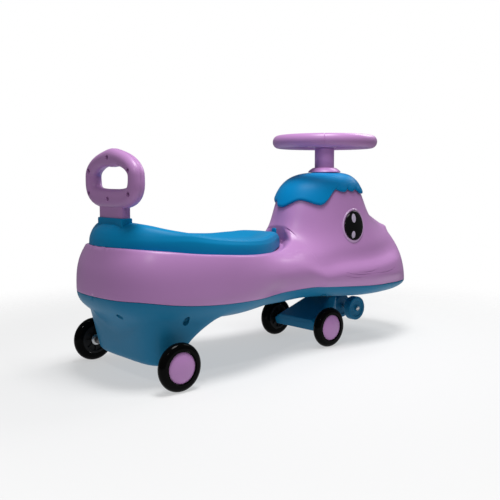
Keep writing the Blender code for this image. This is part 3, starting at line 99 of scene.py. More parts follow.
EDGE_BLEND, NAPE_BLEND, NAPE_CORNER = 0.003, 0.018, 0.075
NAPE_LEAN, NAPE_FOOT = 0.20, 0.018
NAPE_BLEND_START, NAPE_BLEND_RISE, NAPE_CORNER_RISE = (0.290, 0.335), 0.030, (0.008, 0.038)
NAPE_TILT, NAPE_TILT_X, NAPE_TILT_REACH = math.radians(18.0), PIVOT_X - 0.068, 0.10
SEAT_NOSE_X = PIVOT_X - 0.133
SEAT_TAIL_X = -0.062
SEAT_WIDEST_X = 0.090
SEAT_HALF_WIDTH = 0.122


def smooth_line(points):
    """Height along the car: between two (station, height) points a cubic that keeps the slope at both."""
    stations, heights = np.array(points, dtype=float).T
    slopes = np.gradient(heights, stations)

    def height(x):
        """The cubic of the stretch that x falls in, or the end's height beyond the ends."""
        x = np.clip(np.asarray(x, dtype=float), stations[0], stations[-1])
        i = np.clip(np.searchsorted(stations, x, side="right") - 1, 0, len(stations) - 2)
        span = stations[i + 1] - stations[i]
        t = (x - stations[i]) / span
        return ((2 * t ** 3 - 3 * t ** 2 + 1) * heights[i] + (t ** 3 - 2 * t ** 2 + t) * span * slopes[i]
                + (3 * t ** 2 - 2 * t ** 3) * heights[i + 1] + (t ** 3 - t ** 2) * span * slopes[i + 1])
    return height


parting_height = smooth_line([
    (-0.085, 0.1050), (-0.050, 0.1045), (0.000, 0.0980), (0.050, 0.0928), (0.100, 0.0895),
    (0.160, 0.0880), (0.220, 0.0863), (PIVOT_X - 0.198, 0.0870), (PIVOT_X - 0.148, 0.0885),
    (PIVOT_X - 0.108, 0.0880), (PIVOT_X - 0.058, 0.0845), (PIVOT_X + 0.022, 0.0810),
    (PIVOT_X + 0.102, 0.0800), (PIVOT_X + 0.202, 0.0810)])
deck_height = smooth_line([
    (-0.070, 0.1890), (0.000, 0.1825), (0.050, 0.1765), (0.100, 0.1720), (0.190, 0.1650),
    (0.250, 0.1630), (SEAT_NOSE_X - 0.045, 0.1640), (SEAT_NOSE_X, 0.1690)])


def smooth_step(low, high, x):
    """0 below low, 1 above high, and 3t^2 - 2t^3 between."""
    t = np.clip((x - low) / (high - low), 0.0, 1.0)
    return t * t * (3.0 - 2.0 * t)


def swelling(x, y, z, centre, back, front, half_width, rise, drop, plan_power, side_power):
    """Nearly the distance outside an egg: |dx/reach|^p + |y/half width|^p is raised to q/p, |dz/reach|^q is
    added, and the q-th root says how many times larger the egg through the point is."""
    dx, dz = x - centre[0], z - centre[1]
    along = np.abs(dx) / np.where(dx < 0, back, front)
    across = np.abs(y) / half_width
    up = np.abs(dz) / np.where(dz < 0, drop, rise)
    plan = (along ** plan_power + across ** plan_power + 1e-12) ** (side_power / plan_power)
    size = np.maximum((plan + up ** side_power) ** (1.0 / side_power), 1e-6)
    return np.sqrt(dx ** 2 + y ** 2 + dz ** 2) * (1.0 - 1.0 / size)


def melt(a, b, blend):
    """Smooth union of two distances: their mix by how near they are, less blend * h * (1 - h)."""
    h = np.clip(0.5 + 0.5 * (b - a) / blend, 0.0, 1.0)
    return b * (1.0 - h) + a * h - blend * h * (1.0 - h)


def trim(a, b, blend):
    """Smooth intersection of two distances."""
    return -melt(-a, -b, blend)


def pod(x, y, z):
    """The box round the rear axle: a superellipse in plan whose sides widen as it rises and whose
    front wall runs forwards with the square of the height."""
    height = np.clip(z - POD_FLOOR, 0.0, None)
    middle = (POD_FRONT - POD_BACK) / 2.0 + POD_MIDDLE_SHIFT
    back = middle + POD_BACK + POD_WALL_SLOPE * height
    ramp = POD_RAMP_REACH * np.minimum(height / POD_RAMP_HEIGHT, 1.17) ** 2
    front = np.maximum(POD_FRONT + ramp - middle, 0.004)
    half_width = POD_HALF_WIDTH + POD_WALL_SLOPE * height
    reach = np.where(x < middle, back, front)
    power = POD_CORNER_POWER
    size = (np.abs((x - middle) / reach) ** power + np.abs(y / half_width) ** power + 1e-9) ** (1.0 / power)
    walls = (size - 1.0) * np.minimum(reach, half_width)
    return trim(trim(walls, POD_FLOOR - z, 0.012), z - POD_TOP, 0.020)


def seat_half_width(x):
    """Half width of the seat: (1 - t^2.3)^(1/2.3) behind the widest station, (1 - t^2)^0.83 ahead of it."""
    behind = np.clip((SEAT_WIDEST_X - x) / (SEAT_WIDEST_X - SEAT_TAIL_X), 0.0, 1.0)
    ahead = np.clip((x - SEAT_WIDEST_X) / (SEAT_NOSE_X - SEAT_WIDEST_X), 0.0, 1.0)
    tail = (1.0 - behind ** 2.3) ** (1.0 / 2.3)
    return SEAT_HALF_WIDTH * np.where(x < SEAT_WIDEST_X, tail, (1.0 - ahead ** 2) ** 0.83)


def seat_ledge(x, y, z):
    """A flat ledge that carries the seat's tail: the tail's outline grown by 1 mm, from the deck down."""
    dx = (SEAT_WIDEST_X - x) / (SEAT_WIDEST_X - SEAT_TAIL_X)
    size = (np.abs(dx) ** 2.3 + (np.abs(y) / SEAT_HALF_WIDTH) ** 2.3 + 1e-9) ** (1.0 / 2.3)
    top = trim((size - 1.0) * SEAT_HALF_WIDTH - 0.001, z - deck_height(x), EDGE_BLEND)
    return trim(top, deck_height(x) - 0.030 - z, 0.02)


def body(x, y, z):
    """Nearly the distance outside the two shells: rear, waist, bill, head and pod melt into each other, the
    pod with a fillet that is widest behind it. Then the deck, a ramp beside the seat's nose and the steep
    nape trim them above, with rounder corners higher up; the flat belly under the head trims them below."""
    whole = melt(swelling(x, y, z, **REAR_BODY), swelling(x, y, z, **WAIST), REAR_TO_WAIST_BLEND)
    whole = melt(whole, swelling(x, y, z, **BILL), BODY_TO_BILL_BLEND)
    whole = melt(whole, swelling(x, y, z, **HEAD), BODY_TO_HEAD_BLEND)
    whole = melt(whole, seat_ledge(x, y, z), LEDGE_BLEND)
    behind = np.clip((TAIL_FAN_X - x) / TAIL_FAN_X, 0.0, 1.0) * np.exp(-(y / REAR_FILLET_HALF_WIDTH) ** 2)
    whole = melt(whole, pod(x, y, z), POD_BLEND + POD_REAR_FILLET * behind)
    over_deck = z - deck_height(x)
    beside = np.maximum(np.abs(y) - seat_half_width(x) - LEDGE_WIDTH, 0.0)
    beside = beside * np.clip((x - RAMP_START_X) / RAMP_RUN, 0.0, 1.0)
    above = over_deck - RAMP_SLOPE * beside
    nape = SEAT_NOSE_X + 0.004 - NAPE_LEAN * np.maximum(over_deck - NAPE_FOOT, 0.0) - x
    upper = np.maximum(np.clip(above / NAPE_BLEND_RISE, 0.0, 1.0), smooth_step(*NAPE_BLEND_START, x))
    rounding = EDGE_BLEND + (NAPE_BLEND - EDGE_BLEND) * upper
    corner = EDGE_BLEND + NAPE_CORNER * smooth_step(*NAPE_CORNER_RISE, over_deck + 0.6 * beside)
    whole = trim(whole, melt(above, nape, corner), rounding)
    under_head = np.clip((x - WAIST_X) / 0.05, 0.0, 1.0)
    return trim(whole, BELLY_HEIGHT * under_head - (1.0 - under_head) - z, BELLY_BLEND)


def reach_of(field, start, way, far=0.45):
    """How far each ray runs until it leaves the field: the first of 61 even steps outside, then halvings."""
    steps = np.linspace(0.0, far, 61)
    first = np.zeros(np.broadcast(start, way).shape[:-1], dtype=int)
    for k in range(60, 0, -1):
        probe = start + way * steps[k]
        first = np.where(field(probe[..., 0], probe[..., 1], probe[..., 2]) > 0.0, k, first)
    low, high = steps[np.maximum(first - 1, 0)], steps[first]
    for _ in range(20):
        middle = 0.5 * (low + high)
        probe = start + way * middle[..., None]
        out = field(probe[..., 0], probe[..., 1], probe[..., 2]) > 0.0
        low, high = np.where(out, low, middle), np.where(out, middle, high)
    return 0.5 * (low + high)


def outward(field, points, step=1e-4):
    """Unit normals of a field: its slope by small steps each way."""
    x, y, z = points[..., 0], points[..., 1], points[..., 2]
    slope = np.stack([
        field(x + step, y, z) - field(x - step, y, z),
        field(x, y + step, z) - field(x, y - step, z),
        field(x, y, z + step) - field(x, y, z - step)], axis=-1)
    return slope / np.maximum(np.linalg.norm(slope, axis=-1, keepdims=True), 1e-12)


def fan(counts, first, last):
    """Starts and bearings of rays from the middle line: round the tail, along the side, round the front."""
    quarter = math.pi / 2.0
    tail, middle, front = counts
    starts = np.concatenate([np.full(tail, first), np.linspace(first, last, middle), np.full(front, last)])
    bearings = np.concatenate([np.linspace(0.0, quarter, tail, endpoint=False), np.full(middle, quarter),
                               np.linspace(quarter, math.pi, front + 1)[1:]])
    return starts, bearings


def even_turns(count):
    """Bearings once round in even steps."""
    return np.arange(count) * 2.0 * math.pi / count


def no_detail(points):
    """A plain surface."""
    return 0.0 * points[..., 0]


def shell_skins(side, gap, detail=no_detail, fans=(44, 130, 44), across=60, rim_lip=0.0):
    """Outer and inner skin of one shell, over rays that lean from the tail's way round to the snout's.

    Rays leave the middle line at a lift of 0 to 90 degrees from the parting line, evenly in the length of
    each section; detail adds a height along the normal and rim_lip sets the rim back on a quarter round.
    """
    quarter = math.pi / 2.0
    starts, bearings = fan(fans, TAIL_FAN_X, SNOUT_FAN_X)
    nape = 1.0 - ((starts - NAPE_TILT_X) / NAPE_TILT_REACH) ** 2
    tilt = np.where(side > 0, NAPE_TILT, 0.0) * np.clip(nape, 0.0, 1.0)

    def flat_body(x, y, z):
        """The body with its parting line laid flat at height 0."""
        return body(x, y, z + parting_height(x) + gap)

    def rays(lift):
        """Unit ways of the rays at each section and lift."""
        a, t = bearings[:, None], tilt[:, None]
        way = np.stack([-np.cos(a) - np.tan(t) * np.sin(a) * np.sin(lift), -np.sin(a) * np.cos(lift),
                        side * np.sin(a) * np.sin(lift)], axis=-1)
        return way / np.linalg.norm(way, axis=-1, keepdims=True)

    start = np.zeros((len(starts), 1, 3))
    start[:, 0, 0] = starts
    even = np.repeat(np.linspace(0.0, quarter, 61)[None, :], len(starts), axis=0)
    trace = start + rays(even) * reach_of(flat_body, start, rays(even))[..., None]
    steps = np.diff(trace, axis=1)
    spans = np.linalg.norm(steps, axis=-1)
    bends = np.sum(steps[:, 1:] * steps[:, :-1], axis=-1) / np.maximum(spans[:, 1:] * spans[:, :-1], 1e-12)
    spans[:, 1:] += 0.012 * np.arccos(np.clip(bends, -1.0, 1.0))
    length = np.concatenate([np.zeros((len(starts), 1)), np.cumsum(spans, axis=1)], axis=1)
    near_rim = np.array([0.0, 0.0016, 0.0034, 0.0055, 0.0085])
    shares = np.concatenate([near_rim, np.linspace(near_rim[-1], 1.0, across)[1:]])
    lift = np.array([np.interp(shares, row / max(row[-1], 1e-9), even[0]) for row in length])
    lift[0], lift[-1] = lift[1], lift[-2]
    way = rays(lift)
    reach = reach_of(flat_body, start, way)
    skin = start + way * reach[..., None]
    normal = outward(flat_body, skin)
    facing = np.maximum(np.sum(normal * way, axis=-1), 0.40)
    from_rim = np.clip(np.abs(skin[..., 2]) / max(rim_lip, 1e-9), 0.0, 1.0)
    set_back = rim_lip * (1.0 - np.sqrt(1.0 - (1.0 - from_rim) ** 2))
    relief = detail(skin + np.stack([0 * reach, 0 * reach, parting_height(skin[..., 0])], -1))
    outer = skin + normal * (relief - set_back * (1.0 - np.abs(normal[..., 2])))[..., None]
    outer[..., 2] = np.where(np.abs(skin[..., 2]) < 1e-7, 0.0, outer[..., 2])
    inner = start + way * (reach + np.minimum(relief, 0.0) - WALL / facing)[..., None]
    skins = []
    for layer in (outer, inner):
        both = np.concatenate([layer, layer[:, -2::-1] * [1.0, -1.0, 1.0]], axis=1)
        both[..., 2] += parting_height(both[..., 0]) + gap
        skins.append(both)
    return skins


def grid_faces(rows, columns, wrap_rows=False, wrap_columns=False):
    """Quads between neighbours of a grid whose points are numbered row by row."""
    i = np.arange(rows if wrap_rows else rows - 1)[:, None]
    j = np.arange(columns if wrap_columns else columns - 1)[None, :]
    below, right = (i + 1) % rows, (j + 1) % columns
    corners = [i * columns + j, i * columns + right, below * columns + right, below * columns + j]
    return np.stack(corners, axis=-1).reshape(-1, 4)


def tube(spine, radius, first, second, sides):
    """Rings of points round a line, each in the plane of two unit vectors."""
    turns = even_turns(sides)[None, :, None]
    return spine[:, None] + radius * (np.cos(turns) * first + np.sin(turns) * second)


def stack_faces(levels, sides):
    """Faces of a stack of closed rings: quads round the sides and one face at each end."""
    faces = grid_faces(levels, sides, False, True).tolist()
    return faces + [list(range(sides)), list(range((levels - 1) * sides, levels * sides))]


def without_strip(faces, columns):
    """Faces of a closed wall without the strip at its last column, where the skin meets itself."""
    return faces[~np.all(faces % columns == columns - 1, axis=1)]


def wall_between(outer, inner, wrap_rows=False):
    """Points and faces of a wall between two grids: both skins, and a strip along each open edge."""
    rows, columns = outer.shape[:2]
    second = rows * columns
    skin = grid_faces(rows, columns, wrap_rows)
    parts = [skin, second + skin[:, ::-1]]
    i = np.arange(rows if wrap_rows else rows - 1)
    for j in (0, columns - 1):
        a, b = i * columns + j, ((i + 1) % rows) * columns + j
        parts.append(np.stack([a, b, second + b, second + a], axis=-1))
    if not wrap_rows:
        j = np.arange(columns - 1)
        for i in (0, rows - 1):
            a, b = i * columns + j, i * columns + j + 1
            parts.append(np.stack([a, b, second + b, second + a], axis=-1))
    return np.concatenate([outer.reshape(-1, 3), inner.reshape(-1, 3)]), np.concatenate(parts)


def add_mesh(name, points, faces, material, edge_angle=40.0):
    """One mesh object: points that coincide become one, faces turn outwards, and edges sharper than the
    angle stay sharp."""
    mesh = bpy.data.meshes.new(name)
    mesh.from_pydata(np.asarray(points, dtype=float).reshape(-1, 3), [], faces)
    work = bmesh.new()
    work.from_mesh(mesh)
    bmesh.ops.remove_doubles(work, verts=work.verts, dist=2e-6)
    bmesh.ops.dissolve_degenerate(work, edges=work.edges, dist=1e-6)
    bmesh.ops.recalc_face_normals(work, faces=work.faces)
    work.to_mesh(mesh)
    work.free()
    mesh.materials.append(material)
    mesh.shade_smooth()
    mesh.set_sharp_from_angle(angle=math.radians(edge_angle))
    piece = bpy.data.objects.new(name, mesh)
    bpy.context.scene.collection.objects.link(piece)
    return piece


def dress(piece, body_name, slot, *nodes):
    """The piece moves with a body and stands for its solids; the slot is not used."""
    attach(piece, body_name)
    if nodes:
        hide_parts(*nodes)
    return piece


def settle(piece, edge_angle=40.0):
    """Bake a piece's modifiers into its mesh and shade it again."""
    seen = piece.evaluated_get(bpy.context.evaluated_depsgraph_get())
    mesh = bpy.data.meshes.new_from_object(seen)
    piece.modifiers.clear()
    piece.data = mesh
    mesh.shade_smooth()
    mesh.set_sharp_from_angle(angle=math.radians(edge_angle))
    return piece


def combine(piece, tools, operation, edge_angle=40.0):
    """Cut closed shapes, each given as points and faces, out of a piece, or join them to it."""
    count = 0
    points, faces = [], []
    for tool_points, tool_faces in tools:
        points.append(np.asarray(tool_points, dtype=float).reshape(-1, 3))
        faces += [[count + v for v in face] for face in tool_faces]
        count += len(points[-1])
    helper = add_mesh(piece.name + "_tool", np.concatenate(points), faces, piece.data.materials[0])
    modifier = piece.modifiers.new("tool", "BOOLEAN")
    modifier.operation = operation
    modifier.solver = "EXACT"
    modifier.object = helper
    bpy.context.view_layer.update()
    settle(piece, edge_angle)
    bpy.data.objects.remove(helper)
    return piece


def turned(outline, segments, axis="Z", centre=(0.0, 0.0, 0.0), closed=True):
    """A closed outline of (radius, height) points carried round an axis: x = r cos t, y = r sin t, z = h."""
    turns = even_turns(segments)
    outline = np.array(outline, dtype=float)
    rings = np.stack([np.cos(turns)[:, None] * outline[:, 0], np.sin(turns)[:, None] * outline[:, 0],
                      np.broadcast_to(outline[:, 1], (segments, len(outline)))], axis=-1)
    if axis == "Y":
        rings = np.stack([rings[..., 0], rings[..., 2], -rings[..., 1]], axis=-1)
    if axis == "X":
        rings = np.stack([rings[..., 2], rings[..., 1], -rings[..., 0]], axis=-1)
    faces = grid_faces(segments, len(outline), True, closed)
    on_axis = outline[:, 0] < 1e-9
    keep = ~(on_axis[faces[:, 0] % len(outline)] & on_axis[faces[:, 1] % len(outline)])
    return rings.reshape(-1, 3) + np.array(centre), faces[keep]


def rod(radius, low, high):
    """Outline of a plain round bar."""
    return [(0.0, low), (radius, low), (radius, high), (0.0, high)]


def add_node(tree, kind, **values):
    """A shader node. Each named socket, with underscores for blanks, gets a value or is fed by a socket."""
    node = tree.nodes.new("ShaderNode" + kind)
    for name, value in values.items():
        socket = node.inputs[name.replace("_", " ")]
        if isinstance(value, bpy.types.NodeSocket):
            tree.links.new(value, socket)
        else:
            socket.default_value = value
    return node


def moulded_plastic(name, colour, roughness, shine=0.20, drift=0.05, grain=0.16, scuff=0.10):
    """Moulded plastic: slow drifts of colour and gloss, a fine grain in the surface, faint long scuffs."""
    material = bpy.data.materials.new(name)
    material.use_nodes = True
    tree = material.node_tree
    shader = tree.nodes["Principled BSDF"]
    shader.inputs["IOR"].default_value = 1.48
    shader.inputs["Specular IOR Level"].default_value = shine
    place = add_node(tree, "TexCoord").outputs["Object"]
    cloud = add_node(tree, "TexNoise", Vector=place, Scale=7.0, Detail=3.0).outputs["Fac"]
    tint = tree.nodes.new("ShaderNodeMix")
    tint.data_type = "RGBA"
    for socket, share in ((6, 1.0 - drift), (7, 1.0 + drift)):
        tint.inputs[socket].default_value = (*[min(c * share, 1.0) for c in colour], 1.0)
    tree.links.new(cloud, tint.inputs[0])
    tree.links.new(tint.outputs[2], shader.inputs["Base Color"])
    stretch = add_node(tree, "Mapping", Vector=place, Scale=(14.0, 60.0, 420.0), Rotation=(0.3, 0.2, 0.7))
    scratch = add_node(tree, "TexNoise", Vector=stretch.outputs["Vector"], Scale=1.0, Detail=4.0)
    worn = add_node(tree, "MapRange", Value=scratch.outputs["Fac"], From_Min=0.58, From_Max=0.80,
                    To_Min=roughness, To_Max=roughness + scuff)
    gloss = tree.nodes.new("ShaderNodeMath")
    gloss.operation = "MULTIPLY_ADD"
    gloss.inputs[1].default_value = 0.08
    tree.links.new(cloud, gloss.inputs[0])
    tree.links.new(worn.outputs["Result"], gloss.inputs[2])
    tree.links.new(gloss.outputs["Value"], shader.inputs["Roughness"])
    pores = add_node(tree, "TexNoise", Vector=place, Scale=900.0, Detail=2.0)
    bump = add_node(tree, "Bump", Height=pores.outputs["Fac"], Strength=grain, Distance=0.0002)
    tree.links.new(bump.outputs["Normal"], shader.inputs["Normal"])
    return material


BODY_SCREWS = [(-0.0535, 0.0487), (0.0297, 0.1164), (PIVOT_X - 0.0736, 0.0700)]
SCREW_SPOTS = [(x, y * side) for x, y in BODY_SCREWS for side in (-1, 1)]
SCREW_BORE = 0.0017
WELL_RADIUS = 0.0058
WELL_FLOOR = 0.006
SIDE_SCREW_Y = 0.1
SIDE_MOUTH_RADIUS, SIDE_MOUTH_Z, SIDE_MOUTH_TILT = 0.0062, 0.066, math.radians(50.0)
BOSS_RADIUS = 0.0090
BOSS_SIDES = 28
BELLY_OPENING_RADIUS = 0.0155


def surface_height(x, y, way, far=0.45):
    """Height of the body's surface at a place, by a ray up (way 1) or down (-1) from the parting line."""
    start = np.array([[x, y, float(parting_height(x))]])
    return start[0, 2] + way * float(reach_of(body, start, np.array([[0.0, 0.0, float(way)]]), far)[0])


def screw_boss(x, y):
    """A post in the shell's wall: its foot follows the underside, its top is the parting line."""
    turns = even_turns(BOSS_SIDES)
    ring = np.stack([x + BOSS_RADIUS * np.cos(turns), y + BOSS_RADIUS * np.sin(turns)], axis=-1)
    middle = surface_height(x, y, -1, 0.2)
    foot = [max(surface_height(*p, -1, 0.2), middle - 0.012) + WALL * 0.45 for p in ring]
    top = float(parting_height(x)) - GAP
    points = [(*p, z) for p, z in zip(ring, foot)] + [(*p, top) for p in ring]
    points.append((x, y, middle + WALL * 0.45))
    n = BOSS_SIDES
    faces = [(i, (i + 1) % n, n + (i + 1) % n, n + i) for i in range(n)]
    faces += [((i + 1) % n, i, 2 * n) for i in range(n)] + [tuple(range(n, 2 * n))]
    return np.array(points) + AXLE, faces


def side_mouth(x, y):
    """The slanting mouth of a well that comes out through the pod's side: a bar tilted about the X axis."""
    bar, faces = turned(rod(SIDE_MOUTH_RADIUS, -0.030, 0.004), BOSS_SIDES)
    lean = -math.copysign(SIDE_MOUTH_TILT, y)
    across = bar[:, 1] * math.cos(lean) + bar[:, 2] * math.sin(lean)
    height = bar[:, 2] * math.cos(lean) - bar[:, 1] * math.sin(lean)
    return np.stack([bar[:, 0], across, height], -1) + AXLE + [x, y, SIDE_MOUTH_Z], faces


shell_blue = moulded_plastic("shell_blue", (0.012, 0.165, 0.315), 0.36, 0.12)
outer, inner = shell_skins(-1, -GAP, rim_lip=0.0008)
lower_shell = add_mesh("lower_shell", *wall_between(outer + AXLE, inner + AXLE), shell_blue)
combine(lower_shell, [screw_boss(x, y) for x, y in SCREW_SPOTS], "UNION")
well = [(0.0, -0.09), (WELL_RADIUS + 0.0004, -0.09), (WELL_RADIUS, -WELL_FLOOR), (SCREW_BORE, -WELL_FLOOR),
        (SCREW_BORE, 0.01), (0.0, 0.01)]
wells = []
for x, y in SCREW_SPOTS:
    rise = float(parting_height(x))
    on_side = abs(y) > SIDE_SCREW_Y
    outline = [(r, max(z, SIDE_MOUTH_Z - rise)) for r, z in well] if on_side else well
    wells.append(turned(outline, BOSS_SIDES, centre=AXLE + [x, y, rise]))
wells.append(turned(rod(AXLE_RADIUS + 2.0 * GAP, -0.16, 0.16), 32, "Y", AXLE))
wells.append(turned(rod(BELLY_OPENING_RADIUS, 0.0, BELLY_HEIGHT + 0.02), 40, centre=STEER))
combine(lower_shell, wells, "DIFFERENCE")
combine(lower_shell, [side_mouth(x, y) for x, y in SCREW_SPOTS if abs(y) > SIDE_SCREW_Y], "DIFFERENCE")
dress(lower_shell, "car", "shell_blue_plastic", "lower_body_shell")


# Upper body shell
# The lilac half: rear body, waist, head and bill in one hollow moulding. The bill has a rolled lip with
# four fine smile lines each side and two nostril swellings.

LIP_LINE = smooth_line([(0.330, 0.128), (0.3866, 0.1248), (0.4209, 0.1290), (0.4544, 0.1315),
                        (0.4897, 0.1331), (0.5374, 0.1367), (0.5893, 0.1429), (0.640, 0.149)])
LIP_BULGE = 0.0078
LIP_ROUND, LIP_FOOT, LIP_START = (-0.006, 0.020), (0.079, 0.102), (-0.012, 0.030)
CHEEK_VALLEY, CHEEK_VALLEY_RISE, CHEEK_VALLEY_WIDTH = 0.0028, 0.013, 0.015
CHEEK_VALLEY_START = (-0.030, 0.040)
CHEEK_FOLD_X, CHEEK_FOLD_Z, CHEEK_FOLD_SLOPE = 0.333, 0.127, 0.8
SNOUT_FADE = (0.570, 0.640)
NOSTRIL = (0.6120, 0.0555, 0.1955)
NOSTRIL_RISE = 0.0048
NOSTRIL_SPREAD = 0.0095
COLUMN_HOLE_RADIUS = 0.0246


def face_detail(points):
    """Height of the moulded face over the plain body. The lips bulge by smooth steps under the lip line and
    ahead of a slanting fold, and back to nothing at the parting line; a valley -exp(-(d / w)^2) runs above
    them; both fade towards the snout. A bell exp(-(d / spread)^2) stands at each nostril."""
    x, y, z = points[..., 0], points[..., 1], points[..., 2]
    line = LIP_LINE(x)
    past_fold = x - CHEEK_FOLD_X - CHEEK_FOLD_SLOPE * (CHEEK_FOLD_Z - z)
    to_snout = 1.0 - smooth_step(*SNOUT_FADE, x)
    lips = LIP_BULGE * smooth_step(*LIP_ROUND, line - z) * smooth_step(*LIP_FOOT, z)
    valley = CHEEK_VALLEY * np.exp(-((z - line - CHEEK_VALLEY_RISE) / CHEEK_VALLEY_WIDTH) ** 2)
    valley = valley * smooth_step(*CHEEK_VALLEY_START, past_fold)
    apart = np.sqrt((x - NOSTRIL[0]) ** 2 + (np.abs(y) - NOSTRIL[1]) ** 2 + (z - NOSTRIL[2]) ** 2)
    return ((lips * smooth_step(*LIP_START, past_fold) - valley) * to_snout
            + NOSTRIL_RISE * np.exp(-(apart / NOSTRIL_SPREAD) ** 2))


SMILE_LINES = [
    [(0.5019, 0.1081), (0.5237, 0.1065), (0.5423, 0.1069), (0.5611, 0.1091), (0.5756, 0.1138)],
    [(0.4597, 0.1112), (0.4791, 0.1112), (0.4986, 0.1131), (0.5128, 0.1176)],
    [(0.4227, 0.1147), (0.4458, 0.1095), (0.4694, 0.1068), (0.4927, 0.1075)],
    [(0.4229, 0.1083), (0.4463, 0.1029), (0.4647, 0.1016)],
]
SMILE_RADIUS = 0.0009
SMILE_STEPS = 60
SMILE_SIDES = 8


def side_reach(x, z, side):
    """Points of the body's side at some stations and heights, by rays straight out from the middle plane."""
    start = np.stack([x, 0.0 * x, z], axis=-1)
    way = np.broadcast_to(np.array([0.0, side, 0.0]), start.shape)
    return start + way * reach_of(body, start, way, far=0.2)[..., None]


def smile_groove(line, side):
    """A round cutter carried along a line on the bill, thinner towards both ends as sqrt(sin(pi t))."""
    t = np.linspace(0.0, 1.0, SMILE_STEPS)
    stations = np.linspace(line[0][0], line[-1][0], SMILE_STEPS)
    spine = side_reach(stations, smooth_line(line)(stations), side)
    normal = outward(body, spine)
    spine = spine + normal * face_detail(spine)[..., None]
    ahead = np.gradient(spine, axis=0)
    ahead /= np.linalg.norm(ahead, axis=-1, keepdims=True)
    beside = np.cross(ahead, normal)
    radius = SMILE_RADIUS * np.sqrt(np.maximum(np.sin(math.pi * t), 0.02))
    rings = tube(spine, radius[:, None, None], normal[:, None], beside[:, None], SMILE_SIDES)
    return rings.reshape(-1, 3) + AXLE, stack_faces(SMILE_STEPS, SMILE_SIDES)


lilac = moulded_plastic("lilac", (0.460, 0.225, 0.490), 0.30, 0.35)
outer, inner = shell_skins(+1, 0.0, detail=face_detail, fans=(44, 170, 56), across=64, rim_lip=0.0012)
upper_shell = add_mesh("upper_shell", *wall_between(outer + AXLE, inner + AXLE), lilac)
grooves = [smile_groove(line, side) for line in SMILE_LINES for side in (-1, 1)]
grooves.append(turned(rod(COLUMN_HOLE_RADIUS, 0.20, 0.36), 48, centre=STEER))
combine(upper_shell, grooves, "DIFFERENCE")
dress(upper_shell, "car", "lilac_plastic", "upper_body_shell")


# Seat
# A blue seat pan moulded in one with the block that holds the grab handle. Its skirt rolls over into a
# shallow dish, and a small tongue at its nose locates it against the head.

SEAT_SKIN = 0.003
SEAT_CLEARANCE = 0.0010
SEAT_NOSE_CLEARANCE = 0.0035
SEAT_DISH, DISH_EDGE = 0.007, (0.12, 0.62)
seat_rise = smooth_line([
    (-0.062, 0.0360), (-0.045, 0.0388), (-0.028, 0.0420), (-0.010, 0.0405), (0.015, 0.0362),
    (0.050, 0.0322), (0.080, 0.0292), (0.110, 0.0275), (0.160, 0.0268), (0.225, 0.0268),
    (SEAT_NOSE_X - 0.057, 0.0300), (SEAT_NOSE_X - 0.022, 0.0235), (SEAT_NOSE_X, 0.0120)])
skirt_height = smooth_line([(0.000, 0.0), (0.004, 0.35), (0.022, 0.70), (0.065, 0.93), (0.140, 1.00),
                            (0.280, 0.985), (0.550, 0.955), (1.000, 0.940)])
tail_height = smooth_line([(0.000, 0.0), (0.004, 0.18), (0.020, 0.40), (0.045, 0.57), (0.090, 0.75),
                           (0.140, 0.87), (0.220, 0.95), (0.340, 0.99), (0.600, 1.0), (1.000, 1.0)])
HANDLE_X = -0.0315
SOCKET_TOP = float(deck_height(HANDLE_X)) + 0.0488
SOCKET_HALF = (0.01065, 0.0400)
SOCKET_ROUND, SOCKET_CORNER_RADIUS = 0.0016, 0.003
BLADE_HALF = (0.008, 0.0365)
TAIL_PILLOW = (-0.030, 0.060)
SOCKET_CORNER, SOCKET_CORNER_DIP, SOCKET_CORNER_SPREAD = (-0.043, 0.041), 0.0030, 0.012


def seat_outline(counts):
    """Points on the seat's middle line, and where rays from them meet its outline, round from the tail."""
    starts, bearings = fan(counts, SEAT_TAIL_X + 0.10, SEAT_NOSE_X - 0.145)
    way = np.stack([-np.cos(bearings), -np.sin(bearings), 0.0 * bearings], axis=-1)
    start = np.stack([starts, 0.0 * starts, 0.0 * starts], axis=-1)
    reach = reach_of(lambda x, y, z: np.abs(y) - seat_half_width(x) + 1e-9, start + way * 1e-4, way, 0.3)
    rim = start + way * reach[:, None]
    return np.concatenate([start, start[-2:0:-1]]), np.concatenate([rim, rim[-2:0:-1] * [1.0, -1.0, 1.0]])


def seat_skin(start, rim, foot, depth, inset, drop):
    """Grid of the seat's skin: depth t from the rim to the middle line, height deck + rise * share(t) less
    the dish and a bell-shaped dip at the corners of the handle's block. The share rises steeply as a skirt
    along the sides and rounds over like a pillow at the tail; foot lifts the rim where the body stands above
    the deck."""
    t = depth[None, :]
    out = 1.0 - t - inset * (1.0 - smooth_step(0.03, 0.16, t))
    point = start[:, None] + (rim - start)[:, None] * out[..., None]
    x = point[..., 0]
    above = np.maximum(foot - deck_height(rim[:, 0]), -0.0015)[:, None]
    lift = np.where(above > 0.0, above * (1.0 - t) ** 4, above * (1.0 - smooth_step(0.0, 0.05, t)))
    nose = np.clip((x - WAIST_X) / 0.02, 0.0, 1.0)
    gap = SEAT_CLEARANCE + (SEAT_NOSE_CLEARANCE - SEAT_CLEARANCE) * nose
    gap = gap * np.where(nose > 0.0, 1.0, smooth_step(-0.02, 0.06, t))
    dish = smooth_step(*DISH_EDGE, t)
    dish = dish * np.clip((x - 0.02) / 0.08, 0, 1) * np.clip((SEAT_NOSE_X - 0.02 - x) / 0.06, 0, 1)
    skirt = smooth_step(*TAIL_PILLOW, x)
    share = skirt_height(t) * skirt + tail_height(t) * (1.0 - skirt)
    off_corner = (x - SOCKET_CORNER[0]) ** 2 + (np.abs(point[..., 1]) - SOCKET_CORNER[1]) ** 2
    low = SOCKET_CORNER_DIP * np.exp(-off_corner / SOCKET_CORNER_SPREAD ** 2)
    point[..., 2] = deck_height(x) + lift + gap + (seat_rise(x) - low) * share - SEAT_DISH * dish
    point[..., 2] -= drop * np.minimum(1.0, share * 3.0)
    return point


